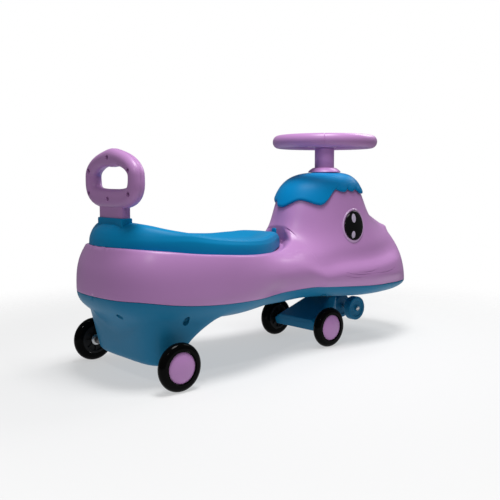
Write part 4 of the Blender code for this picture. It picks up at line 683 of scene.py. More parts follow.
def rounded_rectangle(half, corner, count):
    """A rectangle's outline with quarter-round corners, count points on each corner."""
    arc = np.linspace(0.0, math.pi / 2.0, count)
    points = []
    for k, (sx, sy) in enumerate(((1, 1), (-1, 1), (-1, -1), (1, -1))):
        turn = arc + k * math.pi / 2.0
        points.append(np.stack([sx * (half[0] - corner) + corner * np.cos(turn),
                                sy * (half[1] - corner) + corner * np.sin(turn)], axis=-1))
    return np.concatenate(points)


def stacked_block(centre, levels, count=8):
    """A block as rings, one for each level of (half sizes, corner radius, height), closed at both ends."""
    rings = []
    for half, corner, height in levels:
        outline = rounded_rectangle(half, corner, count)
        rings.append(np.stack([outline[:, 0] + centre[0], outline[:, 1] + centre[1],
                               np.full(len(outline), height)], axis=-1))
    return np.concatenate(rings) + AXLE, stack_faces(len(levels), 4 * count)


def shrink(half, by):
    """Half sizes of a rectangle set in by a distance."""
    return half[0] - by, half[1] - by


seat_blue = moulded_plastic("seat_blue", (0.002, 0.205, 0.430), 0.36, 0.08)
start, rim = seat_outline((40, 60, 60))
below = np.stack([rim[:, 0], rim[:, 1], parting_height(rim[:, 0])], axis=-1)
foot = below[:, 2] + reach_of(body, below, np.broadcast_to(np.array([0.0, 0.0, 1.0]), below.shape))
depth = np.concatenate([[0.0, 0.0012, 0.0025, 0.004, 0.008, 0.014], np.linspace(0.022, 0.16, 14),
                        np.linspace(0.18, 1.0, 34)])
outer = seat_skin(start, rim, foot, depth, 0.0, 0.0)
inner = seat_skin(start, rim, foot, depth, SEAT_SKIN / SEAT_HALF_WIDTH, SEAT_SKIN)
points, faces = wall_between(outer, inner, True)
seat = add_mesh("seat_pan", points + AXLE, without_strip(faces, len(depth)), seat_blue)
block = [(SOCKET_HALF, SOCKET_CORNER_RADIUS, float(deck_height(HANDLE_X)) + 0.012)]
for a in np.radians([0.0, 30.0, 60.0, 90.0]):
    block.append((shrink(SOCKET_HALF, SOCKET_ROUND * (1.0 - math.cos(a))), SOCKET_CORNER_RADIUS,
                  SOCKET_TOP - SOCKET_ROUND * (1.0 - math.sin(a))))
combine(seat, [stacked_block((HANDLE_X, 0.0), block)], "UNION")
pocket = (BLADE_HALF[0] + GAP, BLADE_HALF[1] + GAP)
combine(seat, [stacked_block((HANDLE_X, 0.0), [(pocket, 0.001, SOCKET_TOP - 0.024),
                                               (pocket, 0.001, SOCKET_TOP + 0.01)])], "DIFFERENCE")
TONGUE_X = SEAT_NOSE_X - 0.012
TONGUE_FOOT = float(deck_height(TONGUE_X) + seat_rise(TONGUE_X))
tongue = [((0.0020, 0.006), 0.0019, TONGUE_FOOT - 0.003), ((0.0020, 0.006), 0.0019, TONGUE_FOOT + 0.011),
          ((0.0019, 0.0052), 0.0018, TONGUE_FOOT + 0.0135), ((0.0016, 0.0040), 0.0015, TONGUE_FOOT + 0.0148),
          ((0.0009, 0.0024), 0.0008, TONGUE_FOOT + 0.0150)]
combine(seat, [stacked_block((TONGUE_X, 0.0), tongue, 5)], "UNION")
dress(seat, "car", "seat_blue_plastic", "seat")


# Grab handle
# A lilac ring in two half tubes, front and rear, pulled together by six screws whose heads lie deep in
# round wells. Its blade drops into the seat's block.

RING_HALF_WIDTH = 0.0695
RING_BOTTOM = SOCKET_TOP + 0.0315
RING_TOP = RING_BOTTOM + 0.0682
RING_MIDDLE = (RING_TOP + RING_BOTTOM) / 2.0
SIDE_TUBE, TOP_TUBE, BOTTOM_TUBE, DEEP_TUBE = 0.0130, 0.0127, 0.0165, 0.0135
BOSS_SWELL = 0.0030
RING_STEPS, ARC_STEPS = 168, 22
RING_TOP_TAPER = 0.10
RING_SCREW_Y = 0.0640
HANDLE_WELL_RADIUS = 0.0044
HEAD_SEAT = HANDLE_X - DEEP_TUBE + 0.006
UPPER_SCREW_Z, LOWER_SCREW_Z = RING_MIDDLE + 0.0125, RING_MIDDLE - 0.0255
HANDLE_SCREW_SPOTS = [(0.0, RING_TOP), (RING_SCREW_Y, UPPER_SCREW_Z), (RING_SCREW_Y, LOWER_SCREW_Z),
                      (0.0, RING_BOTTOM), (-RING_SCREW_Y, LOWER_SCREW_Z), (-RING_SCREW_Y, UPPER_SCREW_Z)]


def ring_line(count):
    """The ring's centre line, its outward way and its tube's half height: a superellipse of power 2.2 above
    and 3.4 below, narrowed above by a share that grows with the square of the height."""
    turn = even_turns(count)
    half = (RING_TOP - RING_BOTTOM) / 2.0
    power = 2.0 / (2.8 - 0.6 * np.tanh(3.0 * np.cos(turn)))
    z = half * np.sign(np.cos(turn)) * np.abs(np.cos(turn)) ** power
    taper = 1.0 - RING_TOP_TAPER * np.clip(z / half, 0.0, 1.0) ** 2
    y = RING_HALF_WIDTH * taper * np.sign(np.sin(turn)) * np.abs(np.sin(turn)) ** power
    line = np.stack([y, z], axis=-1)
    ahead = np.roll(line, -1, axis=0) - np.roll(line, 1, axis=0)
    ahead /= np.linalg.norm(ahead, axis=-1, keepdims=True)
    out = np.stack([-ahead[:, 1], ahead[:, 0]], axis=-1)
    out *= np.sign(np.sum(out * line, axis=-1, keepdims=True))
    up = z / half
    tube_half = SIDE_TUBE + np.where(up > 0, (TOP_TUBE - SIDE_TUBE) * up, (SIDE_TUBE - BOTTOM_TUBE) * up)
    boss = BOSS_SWELL * np.exp(-(y / 0.018) ** 2) * smooth_step(0.2, 0.8, up)
    return line + [0.0, RING_MIDDLE], out, tube_half + boss


def handle_half(name, side):
    """Half a tube along the ring: across the ring cos a times its half height, in depth sin(a)^0.9, with the
    mating edge rounded by 0.5 mm, joined to half of the blade and drilled for the screws."""
    line, out, tube_half = ring_line(RING_STEPS)
    arc = np.linspace(0.0, math.pi, ARC_STEPS)
    edge = 0.0005 * (1.0 - np.clip(np.sin(arc) / 0.10, 0.0, 1.0))
    radial = np.cos(arc)[None, :] * (tube_half[:, None] - edge[None, :])
    grid = np.zeros((RING_STEPS, ARC_STEPS, 3))
    grid[..., 0] = HANDLE_X + side * (GAP / 2.0 + np.sin(arc) ** 0.9 * DEEP_TUBE)
    grid[..., 1] = line[:, 0:1] + out[:, 0:1] * radial
    grid[..., 2] = line[:, 1:2] + out[:, 1:2] * radial
    half = add_mesh(name, grid + AXLE, grid_faces(RING_STEPS, ARC_STEPS, True, True), lilac)
    middle = HANDLE_X + side * (BLADE_HALF[0] / 2.0 + GAP / 4.0)
    slab = (BLADE_HALF[0] / 2.0 - GAP / 4.0, BLADE_HALF[1])
    blade = [(slab, 0.0006, SOCKET_TOP - 0.0235), (slab, 0.0006, RING_BOTTOM)]
    combine(half, [stacked_block((middle, 0.0), blade, 4)], "UNION")
    drill = [(0.0, -0.03), (0.0085, -0.03), (0.0054, -0.0072), (HANDLE_WELL_RADIUS, -0.0056),
             (HANDLE_WELL_RADIUS, 0.0), (SCREW_BORE, 0.0), (SCREW_BORE, 0.0148), (0.0, 0.0148)]
    combine(half, [turned(drill, 28, "X", AXLE + [HEAD_SEAT, y, z]) for y, z in HANDLE_SCREW_SPOTS],
            "DIFFERENCE")
    return dress(half, "car", "lilac_plastic", name.replace("ring", "handle"))


handle_half("ring_rear_half", -1)
handle_half("ring_front_half", 1)


# Handle screws
# Six zinc-plated self-tapping screws with a pan head and a cross recess, deep in the wells of the rear half.

THREAD_PITCH, THREAD_DEPTH = 0.0012, 0.0003
SCREW_SHANK = 0.0014


def cross_recess(radius, height, arm, depth, rings=14, turns=64):
    """Top of a pan head: height * sqrt(1 - (r / radius)^2 * 0.75), less a cross with steep walls."""
    r = np.linspace(0.0, 1.0, rings)[None, :] * radius
    a = even_turns(turns)[:, None]
    x, y = r * np.cos(a), r * np.sin(a)
    rise = height * np.sqrt(1.0 - 0.75 * (r / radius) ** 2) + 0.0 * a
    reach = 0.62 * radius
    bars = [smooth_step(0.0, 0.00025, arm - np.abs(u)) * smooth_step(0.0, 0.0003, reach - np.abs(v))
            for u, v in ((x, y), (y, x))]
    return np.stack([x, y, rise - depth * np.maximum(*bars)], axis=-1)


def pan_screw(name, head_radius, head_height, shank_radius, length, place, axis, points_up):
    """One screw: head with its recess, and a shank with a conical tip and a screw thread, r = shank - depth
    * |saw of (z / pitch + turn)|."""
    top = cross_recess(head_radius, head_height * 0.9, 0.16 * head_radius, head_height * 0.55)
    turns = top.shape[0]
    rim = top[:, -1:].copy()
    rim[..., 2] = 0.0
    along = np.linspace(0.0, 1.0, 70)
    share = np.clip((1.0 - along) / 0.12, 0.04, 1.0)
    winding = along[None, :] * length / THREAD_PITCH + np.arange(turns)[:, None] / turns
    saw = np.abs(np.mod(winding, 1.0) - 0.5) * 2.0
    radius = (shank_radius - THREAD_DEPTH * saw) * share[None, :]
    a = even_turns(turns)[:, None]
    shank = np.stack([radius * np.cos(a), radius * np.sin(a), -along[None, :] * length + 0.0 * a], axis=-1)
    tip = np.zeros((turns, 1, 3))
    tip[..., 2] = -length
    grid = np.concatenate([top, rim, shank, tip], axis=1)
    if not points_up:
        grid = grid * [1.0, -1.0, -1.0]
    if axis == "X":
        grid = np.stack([grid[..., 2], grid[..., 1], -grid[..., 0]], axis=-1)
    grid = grid + np.array(place)
    return add_mesh(name, grid, grid_faces(grid.shape[0], grid.shape[1], True, False), steel, 30.0)


steel = moulded_plastic("steel", (0.60, 0.60, 0.61), 0.26, drift=0.03, grain=0.05, scuff=0.15)
steel.node_tree.nodes["Principled BSDF"].inputs["Metallic"].default_value = 1.0
for number, (y, z) in enumerate(HANDLE_SCREW_SPOTS, start=1):
    screw = pan_screw(f"ring_screw_{number}", 0.0028, 0.002, SCREW_SHANK, 0.014,
                      AXLE + [HEAD_SEAT - GAP, y, z], "X", False)
    dress(screw, "car", "steel", f"handle_screw_{number}")


# Body screws
# Six longer screws of the same kind, heads down in the wells of the lower shell.

for number, (x, y) in enumerate(SCREW_SPOTS, start=1):
    seat_z = float(parting_height(x)) - WELL_FLOOR - GAP
    screw = pan_screw(f"shell_screw_{number}", 0.0042, 0.0025, SCREW_SHANK, 0.020,
                      AXLE + [x, y, seat_z], "Z", False)
    dress(screw, "car", "steel", f"body_screw_{number}")


# Hair cap
# A thin blue moulding pressed over the head, cut below into locks that lap over each other, tips to the
# snout.

CAP_GAP = 0.0020
CAP_THICKNESS, CAP_EDGE_THICKNESS = 0.0038, 0.0006
CAP_ROLL = 0.0050
CREASE_DEPTH = 0.0011
CAP_HOLE_RADIUS = 0.0255
CAP_EDGE = [
    (0, 0.266), (8, 0.274), (17, 0.266), (27, 0.276), (37, 0.267), (46, 0.2765), (55, 0.268),
    (63.4, 0.2774), (71.5, 0.2724), (78.6, 0.2774), (87, 0.2716), (101, 0.2764), (131, 0.2462),
    (157.6, 0.2557), (167, 0.2514), (171, 0.2532), (176, 0.2422), (181, 0.2416)]
LOCK_NOTCHES = [8.0, 27.0, 46.0, 63.4, 78.6, 101.0]
HEAD_TOP = surface_height(PIVOT_X, 0.0, 1)
CAP_TOP = HEAD_TOP + CAP_GAP + 0.0035


def cap_edge(bearing):
    """Height of the cap's edge at a bearing in degrees: 3t^2 - 2t^3 between points behind, and
    1 - cos(pi t / 2) from each tip ahead up to its notch: the notches stay sharp and the tips round."""
    points = [(-b, h) for b, h in CAP_EDGE[:0:-1] if b < 160] + CAP_EDGE
    points = [(CAP_EDGE[-1][0] - 360.0, CAP_EDGE[-1][1])] + points
    bearings, heights = np.array(points).T
    i = np.clip(np.searchsorted(bearings, bearing, side="right") - 1, 0, len(bearings) - 2)
    t = np.clip((bearing - bearings[i]) / (bearings[i + 1] - bearings[i]), 0.0, 1.0)
    rising = heights[i + 1] > heights[i]
    lock = np.where(rising, 1.0 - np.cos(math.pi * t / 2.0), np.sin(math.pi * t / 2.0))
    share = np.where(np.abs(bearing) < LOCK_NOTCHES[-1], lock, t * t * (3.0 - 2.0 * t))
    return heights[i] + (heights[i + 1] - heights[i]) * share


cap_blue = moulded_plastic("cap_blue", (0.001, 0.200, 0.455), 0.36, 0.08)
degrees = np.linspace(-179.0, 181.0, 540, endpoint=False)
bearing = np.radians(degrees)
edge = cap_edge(degrees)
centre = np.array([PIVOT_X - 0.023, 0.0, 0.1998])
flat = np.stack([np.cos(bearing), np.sin(bearing), 0.0 * bearing], axis=-1)
start = np.stack([0.0 * bearing + centre[0], 0.0 * bearing, edge], axis=-1)
foot = start + flat * reach_of(body, start, flat, far=0.25)[:, None]
crown = np.stack([PIVOT_X + CAP_HOLE_RADIUS * np.cos(bearing), CAP_HOLE_RADIUS * np.sin(bearing),
                  0.0 * bearing + HEAD_TOP], axis=-1)
low, high = foot - centre, crown - centre
low /= np.linalg.norm(low, axis=-1, keepdims=True)
high /= np.linalg.norm(high, axis=-1, keepdims=True)
shares = np.concatenate([[0.0, 0.004, 0.010, 0.018, 0.030, 0.046, 0.066], np.linspace(0.09, 1.0, 34)])
way = low[:, None] * (1.0 - shares[:, None]) + high[:, None] * shares[:, None]
way /= np.linalg.norm(way, axis=-1, keepdims=True)
skin = centre + way * reach_of(body, centre + 0.0 * way, way)[..., None]
facing = outward(body, skin)
from_edge = np.concatenate([np.zeros((len(skin), 1)),
                            np.cumsum(np.linalg.norm(np.diff(skin, axis=1), axis=-1), axis=1)], axis=1)
roll = np.sqrt(1.0 - (1.0 - np.clip(from_edge / CAP_ROLL, 0.0, 1.0)) ** 2)
crease = 0.0 * from_edge
for notch in LOCK_NOTCHES:
    for side in (-1.0, 1.0):
        off = (degrees * side - notch)[:, None] + from_edge * 260.0
        crease += np.exp(-(off / 1.6) ** 2) * np.clip(1.0 - from_edge / 0.024, 0.0, 1.0) ** 1.5
thickness = (CAP_EDGE_THICKNESS + (CAP_THICKNESS - CAP_EDGE_THICKNESS) * roll
             - CREASE_DEPTH * np.clip(crease, 0.0, 1.0) * roll)
inner = skin + facing * CAP_GAP
outer = inner + facing * thickness[..., None]
locks = add_mesh("head_cap", *wall_between(outer + AXLE, inner + AXLE, True), cap_blue, 50.0)
dress(locks, "car", "cap_blue_plastic", "hair_cap")


# Eyes
# Two glossy black ovals snapped into the sides of the head, each in a raised lilac rim that is glossy and
# painted paler as a highlight, with two pale glints printed on it.

EYE = (PIVOT_X - 0.0095, 0.2048)
EYE_HALF = (0.0230, 0.0288)
EYE_GAP = 0.0010
EYE_BULGE = 0.006
EYE_LEAN = 0.21
GLINTS = [((-0.0044, 0.0150), (0.0048, 0.0090)), ((-0.0050, -0.0181), (0.0042, 0.0072))]


def head_patch(spot, half, side, rings, turns=96):
    """Points on the side of the head inside an oval that leans with the eye: one row for each turn, one
    column for each ring share."""
    a = even_turns(turns)[:, None]
    z = spot[1] + half[1] * rings[None, :] * np.sin(a)
    x = spot[0] + half[0] * rings[None, :] * np.cos(a) + EYE_LEAN * (z - EYE[1])
    points = np.stack([x, 0.0 * x, z], axis=-1)
    way = np.broadcast_to(np.array([0.0, side, 0.0]), points.shape)
    return points + way * reach_of(body, points, way, far=0.25)[..., None]


def eye_bulge(x, z):
    """How far the black oval stands out: 1.5 mm + 4.5 mm * (1 - s^2)^0.7 at a share s of the oval, its edge
    rounded over the last 4 percent."""
    share = np.hypot((x - EYE[0] - EYE_LEAN * (z - EYE[1])) / EYE_HALF[0], (z - EYE[1]) / EYE_HALF[1])
    rounded = np.sqrt(np.clip(1.0 - (np.clip(share - 0.96, 0.0, 0.04) / 0.04) ** 2, 0.0, 1.0))
    return 0.0010 + 0.0005 * rounded + (EYE_BULGE - 0.0015) * np.clip(1.0 - share ** 2, 0.0, 1.0) ** 0.7


eye_black = moulded_plastic("eye_black", (0.002, 0.002, 0.002), 0.06, 0.25, drift=0.3, grain=0.02)
glint_paint = moulded_plastic("glint_paint", (0.42, 0.36, 0.47), 0.25, 0.3, drift=0.04, grain=0.03)
# Painted highlight: the rim is the shell's lilac set paler for the highlight on it; its gloss is real.
glossy_rim_with_painted_highlight = moulded_plastic("eye_rim_painted_highlight", (0.50, 0.31, 0.53), 0.14, 0.6, grain=0.03)
for label, side in (("left", 1), ("right", -1)):
    rings = np.concatenate([np.linspace(0.0, 0.94, 18), [0.96, 0.97, 0.98, 0.99, 0.996, 1.0]])[::-1]
    back = head_patch(EYE, EYE_HALF, side, rings)
    front = back.copy()
    back[..., 1] += side * EYE_GAP
    front[..., 1] += side * (EYE_GAP + eye_bulge(front[..., 0], front[..., 2]))
    points, faces = wall_between(front, back, True)
    ball = add_mesh(f"eyeball_{label}", points + AXLE, without_strip(faces, len(rings)), eye_black, 50.0)
    dress(ball, "car", "eye_black", f"eye_{label}")

    rim_rings = np.linspace(1.01, 1.20, 10)
    base = head_patch(EYE, EYE_HALF, side, rim_rings)
    normal = outward(body, base)
    arch = np.sin(math.pi * np.linspace(0.0, 1.0, len(rim_rings))) ** 0.7
    raised = base + normal * (0.0002 + 0.0019 * arch)[None, :, None]
    socket = add_mesh(f"eye_rim_{label}", *wall_between(raised + AXLE, base - 0.0006 * normal + AXLE, True),
                      glossy_rim_with_painted_highlight)
    dress(socket, "car", "lilac_plastic")

    for number, (offset, half) in enumerate(GLINTS, start=1):
        spot = (EYE[0] + offset[0], EYE[1] + offset[1])
        shares = np.linspace(1.0, 0.0, 9)
        patch = head_patch(spot, half, side, shares, 48)
        lift = EYE_GAP + eye_bulge(patch[..., 0], patch[..., 2])
        front, back = patch.copy(), patch.copy()
        front[..., 1] += side * (lift + 0.00025 * (1.0 - shares ** 6))
        back[..., 1] += side * (lift - 0.0003)
        points, faces = wall_between(front, back, True)
        glint = add_mesh(f"glint_{label}_{number}", points + AXLE, without_strip(faces, len(shares)),
                         glint_paint, 50.0)
        dress(glint, "car", "eye_black")


# Steering shaft, its lower bush and its lock nut
# A turned steel shaft runs from the steering wheel through the head; a white nylon bush carries it in the
# belly and a hexagon lock nut holds the truck on its lower end.

SHAFT_RADIUS, SHAFT_END_RADIUS, SHAFT_DRILL = 0.0100, 0.0050, 0.0028
SHAFT_BORE, SHAFT_END_BORE = SHAFT_RADIUS + GAP, SHAFT_END_RADIUS + GAP
BUSH_FLANGE = 0.0034
BOSS_TOP = BELLY_HEIGHT - BUSH_FLANGE - 2.0 * GAP
BOSS_FLOOR = 0.0150
STEERING_WHEEL_Z = 0.3768
HUB_LOW, HUB_TOP = STEERING_WHEEL_Z - 0.0125, STEERING_WHEEL_Z + 0.0125
SHAFT_TOP = HUB_TOP - 0.0100
NUT_HEIGHT = 0.0070
NUT_LOW = BOSS_FLOOR + 0.001 - GAP - NUT_HEIGHT


def fillet(outline, radii, count=5):
    """An outline whose corners are rounded: each corner becomes an arc, drawn as a quadratic curve."""
    outline = np.array(outline, dtype=float)
    points = []
    for k, corner in enumerate(outline):
        radius = radii[k] if isinstance(radii, (list, tuple)) else radii
        before, after = outline[k - 1] - corner, outline[(k + 1) % len(outline)] - corner
        room = min(np.linalg.norm(before), np.linalg.norm(after)) * 0.45
        cut = min(radius, room)
        if cut < 1e-6 or corner[0] < 1e-9:
            points.append(corner)
            continue
        first = corner + before / np.linalg.norm(before) * cut
        last = corner + after / np.linalg.norm(after) * cut
        for t in np.linspace(0.0, 1.0, count):
            points.append((1 - t) ** 2 * first + 2 * t * (1 - t) * corner + t ** 2 * last)
    return points


def lathe(name, outline, radii, place, material, body_name, slot, node, segments=48, axis="Z", side=1,
          count=3):
    """A turned piece with rounded corners, dressed; side -1 mirrors its outline along the axis."""
    rounded = [(r, side * height) for r, height in fillet(outline, radii, count)]
    piece = add_mesh(name, *turned(rounded, segments, axis, place), material)
    return dress(piece, body_name, slot, node)


nylon = moulded_plastic("nylon", (0.74, 0.73, 0.69), 0.42)
shoulder = BOSS_FLOOR + 0.0073
outline = [(0.0, NUT_LOW - 0.001), (SHAFT_END_RADIUS, NUT_LOW - 0.001), (SHAFT_END_RADIUS, shoulder),
           (SHAFT_RADIUS, shoulder), (SHAFT_RADIUS, SHAFT_TOP), (SHAFT_DRILL, SHAFT_TOP),
           (SHAFT_DRILL, SHAFT_TOP - 0.018), (0.0, SHAFT_TOP - 0.018)]
lathe("shaft", outline, 0.0006, STEER, steel, "steering", "steel", "steering_shaft")
flange_low, flange_top = BOSS_TOP + GAP, BOSS_TOP + GAP + BUSH_FLANGE
outline = [(SHAFT_BORE, flange_low), (0.026, flange_low), (0.026, flange_top), (0.0150, flange_top),
           (0.0150, flange_top + 0.012), (SHAFT_BORE, flange_top + 0.012)]
lathe("nylon_bush", outline, 0.0006, STEER, nylon, "car", "bush_nylon", "lower_steering_bush", 64)
nut_turns = even_turns(48)
flat_reach = 0.0105 * math.cos(math.pi / 6.0) / np.cos(np.mod(nut_turns, math.pi / 3.0) - math.pi / 6.0)
nut_rings = []
for share, rise in ((None, 0.0), (0.93, 0.0), (1.0, 0.0007), (1.0, NUT_HEIGHT - 0.0007), (0.93, NUT_HEIGHT),
                    (None, NUT_HEIGHT)):
    radius = SHAFT_END_BORE + 0.0 * flat_reach if share is None else np.minimum(flat_reach, 0.0101) * share
    nut_rings.append(np.stack([radius * np.cos(nut_turns), radius * np.sin(nut_turns),
                               NUT_LOW + rise + 0.0 * radius], axis=-1))
nut_grid = np.stack(nut_rings, axis=1) + STEER
lock_nut = add_mesh("lock_nut", nut_grid, grid_faces(48, 6, True, True), steel, 20.0)
dress(lock_nut, "steering", "steel", "shaft_lock_nut")


# Steering truck
# A blue moulding, its darker tone painted shade, that swings with the shaft: pivot boss, sloping web, axle
# housing and roller arm.

PIVOT_BOSS_RADIUS = 0.030
AXLE_BORE = AXLE_RADIUS + GAP
PIN_RADIUS = 0.0030
PIN_BORE = PIN_RADIUS + GAP
TRAIL = 0.066
ROLLER_AHEAD, ROLLER_Z = 0.078, 0.015
HOUSING_HALF_LENGTH, HOUSING_TOP_HALF_LENGTH = 0.0625, 0.0480
ROLLER_RADIUS = 0.0258
ARM_HALF_WIDTH, ARM_HALF_HEIGHT = 0.0120, 0.0105


def hull(points):
    """Points and faces of the smallest convex solid round some points."""
    work = bmesh.new()
    for point in points:
        work.verts.new(point)
    result = bmesh.ops.convex_hull(work, input=work.verts)
    spare = [e for e in result["geom_interior"] if isinstance(e, bmesh.types.BMVert)]
    bmesh.ops.delete(work, geom=spare, context="VERTS")
    work.verts.index_update()
    solid = np.array([v.co[:] for v in work.verts]), [[v.index for v in f.verts] for f in work.faces]
    work.free()
    return solid


def both_sides(points):
    """Points and their mirror images across the middle plane."""
    return [(x, y * side, z) for x, y, z in points for side in (-1, 1)]


def soften(piece, grain, rounds, factor=0.5):
    """Melt joined solids into one even skin and round its corners by smoothing."""
    remesh = piece.modifiers.new("even_skin", "REMESH")
    remesh.mode = "VOXEL"
    remesh.voxel_size = grain
    smooth = piece.modifiers.new("round_corners", "SMOOTH")
    smooth.factor = factor
    smooth.iterations = rounds
    bpy.context.view_layer.update()
    return settle(piece, 60.0)


# Painted shade: the shell's blue set darker to stand for the shade under the body.
truck_blue_painted_shade = moulded_plastic("truck_blue_painted_shade", (0.005, 0.135, 0.265), 0.32, 0.12)
low_side, top_side = HOUSING_HALF_LENGTH, HOUSING_TOP_HALF_LENGTH
web = hull(both_sides([(-0.012, 0.0285, BOSS_TOP - 0.001), (0.016, 0.0240, BOSS_TOP - 0.001),
                       (-0.012, 0.0285, BOSS_TOP - 0.012), (0.020, 0.0200, BOSS_FLOOR),
                       (-TRAIL - 0.018, top_side, 0.0120), (-TRAIL + 0.018, top_side, 0.0130),
                       (-TRAIL - 0.018, low_side, 0.0020), (-TRAIL + 0.018, low_side, 0.0020),
                       (-TRAIL - 0.014, low_side, -0.0110), (-TRAIL + 0.014, low_side, -0.0130)]))
root = ROLLER_AHEAD - ROLLER_RADIUS - 0.004
neck = hull(both_sides([(0.005, 0.024, BOSS_TOP - 0.002), (0.005, 0.022, BOSS_FLOOR + 0.001),
                        (root, ARM_HALF_WIDTH - 0.0004, BOSS_TOP - 0.010),
                        (root, ARM_HALF_WIDTH - 0.0004, BOSS_FLOOR + 0.001)]))
arm_top, arm_foot = ROLLER_Z + ARM_HALF_HEIGHT, ROLLER_Z - ARM_HALF_HEIGHT
arm_side = [(0.022, BOSS_TOP - 0.006), (0.022, BOSS_FLOOR + 0.003), (root, BOSS_TOP - 0.010),
            (ROLLER_AHEAD + 0.006, arm_top), (ROLLER_AHEAD + 0.0105, ROLLER_Z + 0.003),
            (ROLLER_AHEAD + 0.006, arm_foot), (ROLLER_AHEAD - 0.010, arm_foot)]
arm = hull(both_sides([(x, ARM_HALF_WIDTH, z) for x, z in arm_side]))
pivot_boss = turned(rod(PIVOT_BOSS_RADIUS, BOSS_FLOOR, BOSS_TOP), 64, centre=STEER)
truck = add_mesh("truck", *pivot_boss, truck_blue_painted_shade)
combine(truck, [(points + STEER, faces) for points, faces in (web, neck, arm)], "UNION")
soften(truck, 0.0011, 7)
AXLE_FRONT = STEER + [-TRAIL, 0.0, 0.0]
ROLLER_PIN = STEER + [ROLLER_AHEAD, 0.0, ROLLER_Z]
bore = [(0.0, BOSS_FLOOR - 0.05), (0.0125, BOSS_FLOOR - 0.05), (0.0125, BOSS_FLOOR + 0.001),
        (SHAFT_END_BORE, BOSS_FLOOR + 0.001), (SHAFT_END_BORE, BOSS_FLOOR + 0.007),
        (SHAFT_BORE, BOSS_FLOOR + 0.007), (SHAFT_BORE, BOSS_TOP + 0.01), (0.0, BOSS_TOP + 0.01)]
combine(truck, [turned(bore, 40, centre=STEER), turned(rod(AXLE_BORE, -0.1, 0.1), 32, "Y", AXLE_FRONT),
                turned(rod(PIN_BORE, -0.1, 0.1), 32, "Y", ROLLER_PIN)], "DIFFERENCE", 50.0)
dress(truck, "steering", "truck_blue_plastic", "steering_truck")


# Steering column and collar
# A lilac sleeve covers the shaft; a low domed collar on the cap guides it.

COLLAR_FOOT = CAP_TOP + GAP
outline = [(0.0208, COLLAR_FOOT - 0.014), (0.0243, COLLAR_FOOT - 0.014), (0.0243, COLLAR_FOOT),
           (0.0345, COLLAR_FOOT), (0.0345, COLLAR_FOOT + 0.0015), (0.0300, COLLAR_FOOT + 0.0060),
           (0.0245, COLLAR_FOOT + 0.0095), (0.0208, COLLAR_FOOT + 0.0102)]
lathe("collar", outline, [0.0003, 0.0003, 0.0, 0.0006, 0.001, 0.003, 0.003, 0.0006], STEER, lilac,
      "car", "lilac_plastic", "column_collar", 96, count=6)
outline = [(SHAFT_BORE, COLLAR_FOOT - 0.012), (0.0205, COLLAR_FOOT - 0.012), (0.0205, HUB_LOW - GAP),
           (SHAFT_BORE, HUB_LOW - GAP)]
lathe("column_sleeve", outline, 0.0004, STEER, lilac, "steering", "lilac_plastic", "steering_column", 96)


# Steering wheel
# One lilac moulding: a thick grip, three spokes and a hub. Two fine mould seams cross the grip.

GRIP = (0.0125, 0.0135)
WHEEL_RADIUS = 0.110
GRIP_MIDDLE = WHEEL_RADIUS - GRIP[0]
SPOKE_HALF_WIDTH, SPOKE_HALF_HEIGHT = 0.0152, 0.0067
SPOKE_TURNS = (180.0, 300.0, 60.0)
SEAM_TURNS = (223.3, 43.3)
SEAM_RADIUS = 0.0010
CAP_RECESS_RADIUS, CAP_RECESS_FLOOR = 0.0228, HUB_TOP - 0.006


def box_points(xs, ys, zs):
    """The eight corners of a box."""
    return np.array([(x, y, z) for x in xs for y in ys for z in zs])


def swung(points, degrees):
    """Points turned about the Z axis."""
    c, s = math.cos(math.radians(degrees)), math.sin(math.radians(degrees))
    x, y = points[..., 0], points[..., 1]
    return np.stack([x * c - y * s, x * s + y * c, points[..., 2]], axis=-1)


def grip_section(steps, share=1.0):
    """(Radius, height) points round the grip's oval section, or inside it at a share of its size."""
    a = even_turns(steps)
    return GRIP_MIDDLE + GRIP[0] * share * np.cos(a), STEERING_WHEEL_Z + GRIP[1] * share * np.sin(a)


wheel = add_mesh("hand_wheel", *turned(np.stack(grip_section(40), axis=-1), 160, centre=STEER), lilac)
hub = [(0.0, HUB_LOW), (0.0245, HUB_LOW), (0.032, STEERING_WHEEL_Z), (0.029, HUB_TOP), (0.0, HUB_TOP)]
limbs = [turned(hub, 64, centre=STEER)]
spoke = box_points((0.012, GRIP_MIDDLE), (-SPOKE_HALF_WIDTH, SPOKE_HALF_WIDTH),
                   (-SPOKE_HALF_HEIGHT, SPOKE_HALF_HEIGHT)) + [0.0, 0.0, STEERING_WHEEL_Z]
limbs += [hull(swung(spoke, turn) + STEER) for turn in SPOKE_TURNS]
combine(wheel, limbs, "UNION")
soften(wheel, 0.0013, 7)
cuts = [turned(rod(CAP_RECESS_RADIUS, CAP_RECESS_FLOOR, HUB_TOP + 0.01), 64, centre=STEER),
        turned(rod(SHAFT_BORE, HUB_LOW - 0.01, SHAFT_TOP + GAP), 48, centre=STEER),
        turned(rod(SHAFT_DRILL, SHAFT_TOP - 0.01, HUB_TOP - 0.005), 24, centre=STEER)]
combine(wheel, cuts, "DIFFERENCE", 50.0)
loop = even_turns(72)
out = np.stack([np.cos(loop), 0.0 * loop, np.sin(loop)], axis=-1)
radius, height = grip_section(72, 0.99)
middle = np.stack([radius, 0.0 * loop, height], axis=-1)
seam = tube(middle, SEAM_RADIUS, out[:, None], np.array([0.0, 1.0, 0.0]), 6)
combine(wheel, [(swung(seam, turn).reshape(-1, 3) + STEER, grid_faces(72, 6, True, True))
                for turn in SEAM_TURNS], "DIFFERENCE", 50.0)
dress(wheel, "steering", "lilac_plastic", "steering_wheel")
HEAD_LOW = CAP_RECESS_FLOOR + GAP
outline = [(0.0205, HEAD_LOW), (0.0225, HEAD_LOW), (0.0225, HUB_TOP), (0.0135, HUB_TOP + 0.0022),
           (0.0, HUB_TOP + 0.0028), (0.0, HUB_TOP + 0.0008), (0.0205, HUB_TOP - 0.002)]
